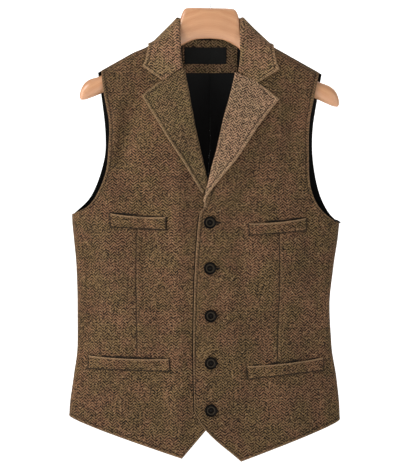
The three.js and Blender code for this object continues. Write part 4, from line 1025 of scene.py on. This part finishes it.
def lapel(side, name):
    shape = LAPEL[side]
    gorge, edge = walk(shape["gorge"]), walk(shape["edge"])
    roll = column(ROLL_LINE[side], "z", "x")
    out = LAPEL_GAP + LAPEL_WALL / 2
    ts = spaced_to_edges(96, True, True, 190, margin=12)
    across = spaced_to_edges(34, False, True, 70, margin=13)

    def patch(u, t):
        gx, gz = gorge(u)
        az = lerp(shape["roll_top"], shape["roll_end"], t)
        ax = roll(az) + side * ROLL_TO_EDGE
        bx, bz = edge(t)
        end_z = shape["roll_end"]
        end_x = roll(end_z) + side * ROLL_TO_EDGE
        tail_x, tail_z = (float(c) for c in edge(1.0))
        start_z = shape["roll_top"]
        start_x = roll(start_z) + side * ROLL_TO_EDGE
        tip_x, tip_z = (float(c) for c in edge(0.0))
        both = []
        for g, a, b, start, tip, end, tail in ((gx, ax, bx, start_x, tip_x, end_x, tail_x),
                                               (gz, az, bz, start_z, tip_z, end_z, tail_z)):
            bottom = lerp(end, tail, u)
            both.append(lerp(g, bottom, t) + lerp(a, b, u) - (1 - t) * lerp(start, tip, u) - t * bottom)
        return both

    hold_x, hold_z = patch(np.zeros_like(ts), ts)
    next_x, next_z = patch(np.full_like(ts, 0.05), ts)
    heart = on_front(side, hold_x, hold_z, np.full_like(ts, -FRONT_WALL / 2))
    top = on_front(side, hold_x, hold_z, np.full_like(ts, out))
    toward = unit(on_front(side, next_x, next_z, np.full_like(ts, out)) - top)
    normal = unit(top - heart)
    wrap = lerp(math.pi, math.pi * 0.55, smooth(ts * 1.4 - 0.1))
    leg = lerp(7, 0.5, smooth(ts * 1.6))
    ring = lambda turn: (heart - toward * (FOLD_RADIUS * np.sin(turn))[:, None]
                         + normal * (FOLD_RADIUS * np.cos(turn))[:, None])
    tangent = -toward * np.cos(wrap)[:, None] - normal * np.sin(wrap)[:, None]
    columns = []
    for part in np.linspace(1, 0, 5)[:-1]:
        columns.append(ring(wrap) + tangent * (leg * part)[:, None])
    arc_steps = 12
    for i in range(arc_steps):
        columns.append(ring(wrap * (1 - i / arc_steps)))
    flat = []
    for u in across:
        x, z = patch(np.full_like(ts, u), ts)
        belly = 1.6 * math.sin(math.pi * min(u * 1.15, 1)) ** 2 * (1 - u) * smooth(ts * 3) * smooth((1 - ts) * 2.5)
        belly = belly + 3.2 * u**1.5 * smooth(ts * 2.2) * smooth((1 - ts) * 2.5)
        flat.append(on_front(side, x, z, out + belly))
    columns += flat
    middle = np.stack(columns, axis=1)
    outward = grid_normals(middle)
    if np.mean(outward[:, -20:, 1]) > 0:
        outward = -outward
    _, right = lengths(middle, 1)
    top_to, bottom_to = lengths(middle, 0)
    sewn = np.concatenate([np.ones(len(columns) - len(flat)), smooth((LAPEL_KNEE - across) / 0.06)])
    near = np.minimum(right, top_to + 30 * sewn)
    done, _ = lengths(middle, 1)
    slant = math.radians(11)
    x, z = middle[..., 0], middle[..., 2]
    roll_len = done - done[:, [4 + arc_steps]]
    grain = (hold_x[:, None] + side * roll_len) * math.cos(slant) - z * math.sin(slant) * side
    rise = z * math.cos(slant) + x * math.sin(slant) * side
    puffed = -0.6 * np.exp(-(((near - 5.6) / 1.4) ** 2)) + 0.4 * np.exp(-(((near - 2.6) / 1.9) ** 2))
    unrest = 0.35 * ripple(x, z, 51 + side, 38) * smooth(near / 14)
    stitches = 0.16 * np.sin(top_to * 2.1) * np.exp(-(((near - 5.6) / 2.2) ** 2))
    far = np.full_like(near, 40.0)
    layers = {"grain": (grain, rise), "edge": (near, far), "pocket": (far, far)}
    return shell(name, middle, outward, LAPEL_WALL, layers, [LAPEL_TWEED[side]],
                 puffed + unrest + stitches, seamed=("first",))


def clear_of_shoulder(p, gap):
    """Holds the collar's fall off the shoulders."""
    top = shoulder_top(p[:, 0])
    below = top - p[:, 2]
    facing = np.where(p[:, 1] < 0, -1, 1)
    front_wall = np.zeros(len(p))
    for side in (LEFT, RIGHT):
        mine = (p[:, 0] < 0) == (side == RIGHT)
        turned = angle_at(side, p[:, 0], p[:, 2])
        turned = np.where(facing < 0, turned, math.pi - turned)
        y = np.abs(body_point(side, turned, p[:, 2])[..., 1])
        front_wall = np.where(mine, y, front_wall)
    low = below > SHOULDER["round"] * 0.6
    pressed = low & (np.abs(p[:, 1]) < front_wall + gap)
    heart = top - SHOULDER["round"]
    size = np.hypot(p[:, 1] / SHOULDER["depth"], (p[:, 2] - heart) / SHOULDER["round"])
    least = 1 + gap * 1.25 / SHOULDER["depth"]
    lifted = ~low & (size < least)
    grow = np.where(lifted, least / np.maximum(size, 1e-6), 1)
    y = np.where(pressed, facing * (front_wall + gap), p[:, 1] * grow)
    z = np.where(lifted, heart + (p[:, 2] - heart) * grow, p[:, 2])
    return np.column_stack([p[:, 0], y, z])


def front_edge(side, z):
    """The middle of a front's wall at its edge beside the neck."""
    x = column(ROLL_LINE[side], "z", "x")(z) + side * ROLL_TO_EDGE
    face = body_point(side, angle_at(side, x, z), z)
    return x, face[..., 1] + FRONT_WALL / 2, z


def collar(name):
    half = spaced_to_edges(60, True, False, 150, margin=12)
    legs = np.linspace(0, 1, 5)[:-1]
    arc_steps = 12
    falls = spaced_to_edges(26, False, True, 50, margin=13)[1:]

    def curve(kind, rows, side, drop, t):
        points = np.column_stack([-side * rows["x"], rows["y"], rows["z"]])
        if kind:
            first = []
            for i in range(2):
                z = COLLAR_WRAP[kind + "_z"][i]
                if side == LEFT:
                    z = z + drop * float(smooth(1 - i / 4))
                x, y, z = front_edge(side, np.array([z]))
                first.append([x[0] - side * COLLAR_WRAP[kind + "_x"][i], y[0] + COLLAR_WRAP[kind + "_y"][i], z[0]])
            if side == LEFT:
                points[:, 2] += drop * smooth(1 - (np.arange(len(points)) + 2) / 4)
            points = np.vstack([first, points])
            if side == LEFT and kind == "fold":
                points[:, 0] += COLLAR_SPREAD["fold"] * smooth(1 - np.arange(len(points)) / COLLAR_SPREAD["rows"])
        elif side == LEFT:
            points[:, 0] += COLLAR_SPREAD["edge"] * smooth((1 - np.arange(len(points)) / COLLAR_SPREAD["rows"]) * 2)
            points[:, 2] += drop * smooth(1 - np.arange(len(points)) / 4)
        return spline(points, t, tight=False)

    def sections(side, t):
        seam = curve("seam", COLLAR_SEAM, side, COLLAR_DROP["fold"], t)
        fold = curve("fold", COLLAR_FOLD, side, COLLAR_DROP["fold"], t)
        edge = curve(None, COLLAR_EDGE, side, COLLAR_DROP["edge"], t)
        inside, outside = unit(seam - fold), unit(edge - fold)
        up = -unit(inside + outside)
        over = unit(outside - inside)
        wrapped = smooth(2 - t * 7)[:, None]
        up = unit(lerp(up, np.array([-side, 0, 0]), wrapped))
        over = lerp(over, np.array([0, -1, 0]), wrapped)
        over = unit(over - up * np.sum(over * up, axis=1, keepdims=True))
        heart = fold - up * COLLAR_FOLD_RADIUS
        ring = lambda turn: (heart - over * (COLLAR_FOLD_RADIUS * math.cos(turn))
                             + up * (COLLAR_FOLD_RADIUS * math.sin(turn)))
        columns = [lerp(seam, ring(0), part) for part in legs]
        columns += [ring(math.pi * i / arc_steps) for i in range(arc_steps + 1)]
        start = ring(math.pi)
        bend = smooth(1 - t / 0.16)
        knee_x = -side * COLLAR_KNEE["x"]
        knee_z = COLLAR_KNEE["z"] + (COLLAR_DROP["knee"] if side == LEFT else 0)
        for u in falls:
            p = lerp(start, edge, u)
            bow = 1 - abs(2 * u - 1)
            p[:, 0] += (knee_x - (start[:, 0] + edge[:, 0]) / 2) * bow * bend
            p[:, 2] += (knee_z - (start[:, 2] + edge[:, 2]) / 2) * bow * bend
            columns.append(clear_of_shoulder(p, GAP + COLLAR_WALL / 2 + 0.35))
        return np.stack(columns, axis=1)

    right, left = sections(RIGHT, half), sections(LEFT, half)
    middle = np.concatenate([right, left[-2::-1]], axis=0)
    outward = grid_normals(middle)
    if np.mean(outward[:20, -12:, 1]) > 0:
        outward = -outward
    _, to_edge = lengths(middle, 1)
    from_start, to_end = lengths(middle, 0)
    across = np.concatenate([np.zeros(len(legs) + arc_steps + 1), falls])
    sewn = 30 * smooth((LAPEL_KNEE - across) / 0.06)
    near = np.minimum(to_edge, np.minimum(from_start, to_end) + sewn)
    along = from_start[:, [20]] * np.ones_like(to_edge)
    puffed = -0.6 * np.exp(-(((near - 5.6) / 1.4) ** 2)) + 0.4 * np.exp(-(((near - 2.6) / 1.9) ** 2))
    unrest = 0.25 * ripple(along, to_edge, 71, 34) * smooth(near / 14)
    far = np.full_like(near, 40.0)
    share = np.concatenate([half, half[-2::-1]])
    rising = np.concatenate([np.ones(len(half)), -np.ones(len(half) - 1)])
    turning = int(np.argmin(np.abs(half - COLLAR_GRAIN["turns_at"])))
    turns = np.where(rising > 0, turning, len(share) - 1 - turning)
    x, z = middle[..., 0], middle[..., 2]
    level = along[turns, 20] - rising * z[turns, 20]
    round_neck = smooth((share - COLLAR_GRAIN["front_to"]) / COLLAR_GRAIN["over"])[:, None]
    grain = lerp(COLLAR_GRAIN["front_edge"] - np.abs(x), to_edge, round_neck)
    length = lerp(level[:, None] + rising[:, None] * z, along, round_neck)
    layers = {"grain": (grain, length), "edge": (near, far), "pocket": (far, far)}
    return shell(name, middle, outward, COLLAR_WALL, layers, [COLLAR_TWEED],
                 puffed + unrest, seamed=("first", "last"))


def welt(name, side, corners):
    us = spaced_to_edges(44, True, True, 120, fine=0.8, margin=7)
    vs = spaced_to_edges(6, True, True, 21, fine=0.8, margin=6)
    u, v = np.meshgrid(us, vs)
    cx, cz = corners["x"], corners["z"]
    x = lerp(lerp(cx[0], cx[1], u), lerp(cx[3], cx[2], u), v)
    z = lerp(lerp(cz[0], cz[1], u), lerp(cz[3], cz[2], u), v)
    height = abs(cz[3] - cz[0])
    puff = 0.7 * np.sin(math.pi * np.clip(v, 0, 1)) * np.sin(math.pi * u) ** 0.5
    sag = 2.8 * MOUTH(u) * (1 - v)
    face = on_front(side, x, z - sag, WELT_GAP + WELT_WALL + puff)
    outward = grid_normals(face)
    if np.mean(outward[..., 1]) > 0:
        outward = -outward
    middle = face - outward * (WELT_WALL / 2)
    left, right = lengths(middle, 1)
    top, bottom = lengths(middle, 0)
    near = np.minimum(np.minimum(left, right), np.minimum(top, bottom))
    sides = np.minimum(left, right)
    groove = -0.45 * np.exp(-(((sides - 2.6) / 0.8) ** 2)) - 0.5 * np.exp(-(((bottom - 1.9) / 0.8) ** 2))
    tuck = 0.12 * np.sin(left * 2.3) * np.exp(-(((bottom - 1.9) / 1.6) ** 2))
    grain = grain_of(side, angle_at(side, x, z), z) + 1.9
    far = np.full_like(near, 40.0)
    # The top edge carries the painted highlight; the sides and bottom carry the dark outline, partly seam line and
    # partly painted shade.
    layers = {"grain": (grain, z), "edge": (np.where(top < 3, top, 12), far),
              "pocket": (far, np.maximum(np.minimum(sides, bottom) - 0.7, 0))}
    return shell(name, middle, outward, WELT_WALL, layers, [WELT_TWEED], groove + tuck, rim=0.9)


def inside_strip(name, spec, inward, wall, materials, counts):
    us = spaced_to_edges(counts[0], True, True, spec["right"] - spec["left"], margin=6)
    vs = spaced_to_edges(counts[1], True, True, spec["top"] - spec["bottom"], margin=6)
    u, v = np.meshgrid(us, vs)
    x = lerp(spec["left"], spec["right"], u)
    z = lerp(spec["top"], spec["bottom"], v)
    middle = inside_back(x, z, inward + wall / 2)
    outward = grid_normals(middle)
    if np.mean(outward[..., 1]) > 0:
        outward = -outward
    left, right = lengths(middle, 1)
    top, bottom = lengths(middle, 0)
    near = np.minimum(np.minimum(left, right), np.minimum(top, bottom))
    far = np.full_like(near, 40.0)
    groove = -0.25 * np.exp(-(((near - 2.2) / 0.7) ** 2))
    return shell(name, middle, outward, wall, {"grain": (x, z), "edge": (near + 7, far), "pocket": (far, far)}, materials,
                 groove, rim=0.6)


PIECES = {}
PIECES["front_left"] = front(LEFT, "waistcoat_front_left")
PIECES["front_right"] = front(RIGHT, "waistcoat_front_right")
PIECES["back_left"] = back(LEFT, "waistcoat_back_left")
PIECES["back_right"] = back(RIGHT, "waistcoat_back_right")
PIECES["lapel_left"] = lapel(LEFT, "waistcoat_lapel_left")
PIECES["lapel_right"] = lapel(RIGHT, "waistcoat_lapel_right")
PIECES["collar"] = collar("waistcoat_collar")
PIECES["neck_facing"] = inside_strip("waistcoat_neck_facing", FACING, FACING_GAP, FACING_WALL, [FACING_TWEED], (24, 14))
PIECES["neck_label"] = inside_strip("waistcoat_neck_label", LABEL, FACING_GAP + GAP + FACING_WALL,
                                    LABEL_WALL, [RIBBON], (20, 8))
for welt_name, (welt_side, welt_corners) in WELTS.items():
    PIECES[welt_name] = welt("waistcoat_" + welt_name, welt_side, welt_corners)

for node_name, piece in PIECES.items():
    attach(piece, "root")
    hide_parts(node_name)


def mesh_object(name, points, faces, material):
    mesh = bpy.data.meshes.new(name)
    mesh.from_pydata([tuple(p) for p in points], [], faces)
    for polygon in mesh.polygons:
        polygon.use_smooth = True
    mesh.materials.append(material)
    mesh.validate()
    mesh.update()
    made = bpy.data.objects.new(name, mesh)
    bpy.context.scene.collection.objects.link(made)
    return made


def turned_profile(name, profile, sides, material):
    """A closed body turned from a profile of radius and height, its axis along -Y."""
    points, faces = [], []
    for radius, height in profile:
        for k in range(sides):
            turn = 2 * math.pi * k / sides
            points.append((radius * math.cos(turn) * MM, -height * MM, radius * math.sin(turn) * MM))
    for row in range(len(profile) - 1):
        for k in range(sides):
            a, b = row * sides + k, row * sides + (k + 1) % sides
            faces.append((a, a + sides, b + sides, b))
    faces.append(tuple(range(sides)))
    faces.append(tuple((len(profile) - 1) * sides + k for k in reversed(range(sides))))
    return mesh_object(name, points, faces, material)


def tube(name, path, radius, sides, material, closed=False):
    """A round thread along a path in millimetres."""
    path = np.asarray(path, float)
    if closed:
        along = unit(np.roll(path, -1, axis=0) - np.roll(path, 1, axis=0))
    else:
        along = unit(np.gradient(path, axis=0))
    across = unit(np.cross(along, np.array([0.31, 0.05, 0.95])))
    over = np.cross(along, across)
    points, faces = [], []
    for i in range(len(path)):
        for k in range(sides):
            turn = 2 * math.pi * k / sides
            p = path[i] + radius * (across[i] * math.cos(turn) + over[i] * math.sin(turn))
            points.append(tuple(p * MM))
    for i in range(len(path) if closed else len(path) - 1):
        j = (i + 1) % len(path)
        for k in range(sides):
            after = (k + 1) % sides
            faces.append((i * sides + k, i * sides + after, j * sides + after, j * sides + k))
    if not closed:
        faces.append(tuple(reversed(range(sides))))
        faces.append(tuple((len(path) - 1) * sides + k for k in range(sides)))
    return mesh_object(name, points, faces, material)


def button_body():
    """One button with a rounded rim, a ring round its well, and four holes cut through."""
    radius, back, rim, width = (BUTTON[key] for key in ("radius", "back", "rim", "rim_width"))
    profile = [(radius * 0.6, 0), (radius * 0.72, 0), (radius - 1.1, back * 0.3), (radius - 0.4, back * 0.62),
               (radius - 0.08, back), (radius, back + 0.6), (radius - 0.05, rim - 1), (radius - 0.32, rim - 0.38),
               (radius - 0.75, rim - 0.06), (radius - width * 0.55, rim), (radius - width * 0.85, rim - 0.14)]
    well = radius - width
    profile += [(well - 0.15, rim - 0.5), (well - 0.5, rim - 1.12), (well - 0.95, BUTTON["dish"] - 0.1),
                (well - 1.5, BUTTON["dish"] - 0.02), (well - 2.1, BUTTON["dish"] + 0.16),
                (well - 2.6, BUTTON["dish"] + 0.05), (well - 3.1, BUTTON["dish"] - 0.16),
                (well - 3.9, BUTTON["dish"] - 0.26), (well - 5.4, BUTTON["dish"] - 0.3)]
    body = turned_profile("button_blank", profile, 72, HORN)
    cutters = []
    for dx in (-1, 1):
        for dz in (-1, 1):
            cutter = turned_profile("button_hole", [(BUTTON["hole"], -2), (BUTTON["hole"], 6)], 20, HORN)
            cutter.location = (dx * BUTTON["hole_offset"] * MM, 0, dz * BUTTON["hole_offset"] * MM)
            cut = body.modifiers.new("hole", "BOOLEAN")
            cut.operation = "DIFFERENCE"
            cut.solver = "EXACT"
            cut.object = cutter
            cutters.append(cutter)
    bpy.context.view_layer.update()
    whole = bpy.data.meshes.new_from_object(body.evaluated_get(bpy.context.evaluated_depsgraph_get()))
    for spare in cutters + [body]:
        bpy.data.objects.remove(spare, do_unlink=True)
    for polygon in whole.polygons:
        polygon.use_smooth = True
    return whole


def sewing(name, place, turn):
    """The four strands of thread that hold a button, crossed between its holes."""
    pieces = []
    reach = BUTTON["hole_offset"]
    for strand, (ax, az, bx, bz) in enumerate(((-1, -1, 1, 1), (-1, 1, 1, -1))):
        path = []
        for i in range(13):
            u = i / 12
            x, z = lerp(ax, bx, u) * reach, lerp(az, bz, u) * reach
            y = -(BUTTON["dish"] - 0.3 + (0.45 + 0.35 * strand) * math.sin(math.pi * u) ** 0.6 - (0.9 if i in (0, 12) else 0))
            path.append((x * math.cos(turn) - z * math.sin(turn), y, x * math.sin(turn) + z * math.cos(turn)))
        for lane in (-0.26, 0.26):
            shift = np.array([-(az - bz), 0, ax - bx]) * 0.5 * lane
            moved = np.array(path) + np.array([shift[0] * math.cos(turn) - shift[2] * math.sin(turn), 0,
                                               shift[0] * math.sin(turn) + shift[2] * math.cos(turn)])
            pieces.append(tube(f"{name}_{strand}_{len(pieces)}", moved + place, 0.24, 8, BUTTON_THREAD))
    return pieces


BUTTONHOLE = dict(back=2.5, half=0.75, thread=0.55, lip=0.2)
BUTTONHOLE_ENDS = {"button_1": 16.2, "button_2": 15.4, "button_3": 11.4, "button_4": 11, "button_5": 10.8}


def buttonhole(name, centre_x, centre_z, end):
    """A worked buttonhole: a dark slit sheet, painted shade in its opening, inside a rim of close stitches."""
    half = BUTTONHOLE["half"]
    start, stop = centre_x - BUTTONHOLE["back"], centre_x + end - half
    path = []
    for u in np.linspace(0, 1, 48)[:-1]:
        path.append((lerp(start, stop, u), centre_z + half))
    for u in np.linspace(0, 1, 12):
        path.append((stop + half * math.sin(math.pi * u), centre_z + half * math.cos(math.pi * u)))
    for u in np.linspace(1, 0, 48)[1:]:
        path.append((lerp(start, stop, u), centre_z - half))
    path = np.array(path)
    laid = on_front(LEFT, path[:, 0], path[:, 1], BUTTONHOLE["lip"])
    wobble = 0.07 * np.sin(np.arange(len(laid)) * 2.4)[:, None] * np.array([0, -1, 0])
    rim = tube(name + "_stitches", laid + wobble, BUTTONHOLE["thread"], 8, THREAD, closed=False)
    # The slit is a dark sheet laid on the front as painted shade in the buttonhole's opening.
    xs = np.linspace(start, stop, 24)
    rows = []
    for across in (-0.7, 0, 0.7):
        rows.append(on_front(LEFT, xs, np.full_like(xs, centre_z + across), 0.35))
    grid = np.stack(rows)
    points = [tuple(p * MM) for p in grid.reshape(-1, 3)]
    faces = [(r * 24 + c, r * 24 + c + 1, r * 24 + c + 25, r * 24 + c + 24) for r in range(2) for c in range(23)]
    slit_shade = mesh_object(name + "_slit", points, faces, SLIT_SHADE)
    return [rim, slit_shade]


button_mesh = button_body()
for node_name, (x, z, turn) in BUTTONS.items():
    seat = on_front(LEFT, x, z, BUTTON["seat"], fine=False)
    button = bpy.data.objects.new("waistcoat_" + node_name, button_mesh)
    button.location = tuple(seat * MM)
    button.rotation_euler = (0, turn, 0)
    bpy.context.scene.collection.objects.link(button)
    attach(button, "root")
    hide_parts(node_name)
    sewn = sewing("waistcoat_thread_" + node_name[-1], seat, -turn)
    sewn += buttonhole("waistcoat_buttonhole_" + node_name[-1], x, z, BUTTONHOLE_ENDS[node_name])
    for piece in sewn:
        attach(piece, "root")


def hanger(name):
    """The contoured arms and the raised middle, as rings from tip to tip."""
    across = np.concatenate([np.linspace(0, 36, 10), np.linspace(37, 54, 22), np.linspace(57, 170, 34)[1:],
                             np.linspace(172, 199.6, 22)])
    across = np.concatenate([-across[:0:-1], across])
    away = np.abs(across)
    top, bottom = column(HANGER, "x", "top")(away), column(HANGER, "x", "bottom")(away)
    half, square = column(HANGER, "x", "half")(away), column(HANGER, "x", "square")(away)
    sides = 56
    turn = 2 * math.pi * np.arange(sides) / sides
    power = (2 / square)[:, None]
    y = half[:, None] * np.sign(np.cos(turn)) * np.abs(np.cos(turn)) ** power
    tall = ((top - bottom) / 2)[:, None] * np.sign(np.sin(turn)) * np.abs(np.sin(turn)) ** power
    reach = smooth((across - HANGER_PLACE["longer_from"]) / HANGER_PLACE["longer_over"])
    along = across + HANGER_PLACE["left_longer"] * reach
    fall = HANGER_PLACE["left_longer"] * reach * 0.5
    level = (top + bottom) / 2 - fall
    grid = np.stack([along[:, None] + 0 * y, y + HANGER_PLACE["y"], tall + level[:, None]], axis=-1)
    points = [tuple(p * MM) for p in grid.reshape(-1, 3)]
    count = len(across)
    faces = []
    for r in range(count - 1):
        for k in range(sides):
            a, b = r * sides + k, r * sides + (k + 1) % sides
            faces.append((a, a + sides, b + sides, b))
    faces.append(tuple(range(sides)))
    faces.append(tuple((count - 1) * sides + k for k in reversed(range(sides))))
    piece = mesh_object(name, points, faces, WOOD)
    piece.location = (HANGER_PLACE["x"] * MM, 0, 0)
    piece.rotation_euler = (0, HANGER_PLACE["tilt"], 0)
    return piece


wooden = hanger("hanger_wood")
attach(wooden, "root")
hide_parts("hanger_body")
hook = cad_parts["hanger_hook"]
hook.data.materials.clear()
hook.data.materials.append(STEEL)
for polygon in hook.data.polygons:
    polygon.use_smooth = True


# ---------------------------------------------------------------- camera, floor and light

CAMERA_FRONT = 7.0
SCALE_PLANE = -0.022
camera_data = bpy.data.cameras.new("camera")
camera_data.sensor_fit = "AUTO"
camera_data.sensor_width = 36
camera_data.lens = 36 * CAMERA_FRONT / (469 * 1.55 * MM)
camera = bpy.data.objects.new("camera", camera_data)
camera.location = (-0.0031, SCALE_PLANE - CAMERA_FRONT, -0.409)
camera.rotation_euler = (math.pi / 2, 0, 0)
bpy.context.scene.collection.objects.link(camera)
bpy.context.scene.camera = camera


def backdrop():
    """A pale floor that curves up into a wall far enough behind to see the back from as well."""
    floor, wall, bend = -1.05, 24.0, 4.0
    line = [(-24, floor)]
    for i in range(17):
        turn = math.pi / 2 * i / 16
        line.append((wall - bend + bend * math.sin(turn), floor + bend - bend * math.cos(turn)))
    line.append((wall, 16))
    points, faces = [], []
    for y, z in line:
        points += [(-24, y, z), (24, y, z)]
    for i in range(len(line) - 1):
        faces.append((2 * i, 2 * i + 1, 2 * i + 3, 2 * i + 2))
    m = Nodes("studio")
    place, _, _, _ = m.place()
    tone = m.remap(m.noise(place, 3.0, 2.0), 0.3, 0.7, 0.96, 1.0)
    material = m.finish(Base_Color=m.mix(1.0, (0.93, 0.93, 0.925, 1), m.vector(tone, tone, tone), "MULTIPLY"),
                        Roughness=0.95, Specular_IOR_Level=0.0, Emission_Color=(1, 1, 1, 1),
                        Emission_Strength=0.86)
    made = mesh_object("studio_backdrop", points, faces, material)


backdrop()


def soft_light(name, place, aim, size, watts, tint=(1, 1, 1)):
    data = bpy.data.lights.new(name, "AREA")
    data.shape = "RECTANGLE"
    data.size, data.size_y = size
    data.energy = watts
    data.color = tint
    made = bpy.data.objects.new(name, data)
    made.location = place
    direction = np.array(aim) - np.array(place)
    direction = direction / np.linalg.norm(direction)
    made.rotation_euler = (math.acos(-direction[2]), 0, math.atan2(direction[1], direction[0]) - math.pi / 2)
    bpy.context.scene.collection.objects.link(made)
    return made


soft_light("key", (-1.9, -1.75, 0.9), (0, 0, -0.4), (1.0, 1.0), 50)
soft_light("fill", (1.9, -2.2, -0.1), (0, 0, -0.45), (1.8, 1.8), 21)
soft_light("top", (0.0, -0.2, 1.9), (0, 0, -0.4), (1.4, 1.0), 17)
soft_light("side", (-2.2, -0.7, -0.2), (-0.1, 0, -0.45), (0.5, 1.2), 33, (1.0, 0.9, 0.86))
soft_light("behind", (0.6, 2.4, 0.9), (0, 0, -0.4), (1.6, 1.2), 30)

world = bpy.data.worlds.new("studio_world")
world.use_nodes = True
world.node_tree.nodes["Background"].inputs[0].default_value = (1, 1, 1, 1)
world.node_tree.nodes["Background"].inputs[1].default_value = 0.28
bpy.context.scene.world = world
bpy.context.scene.view_settings.view_transform = "Standard"
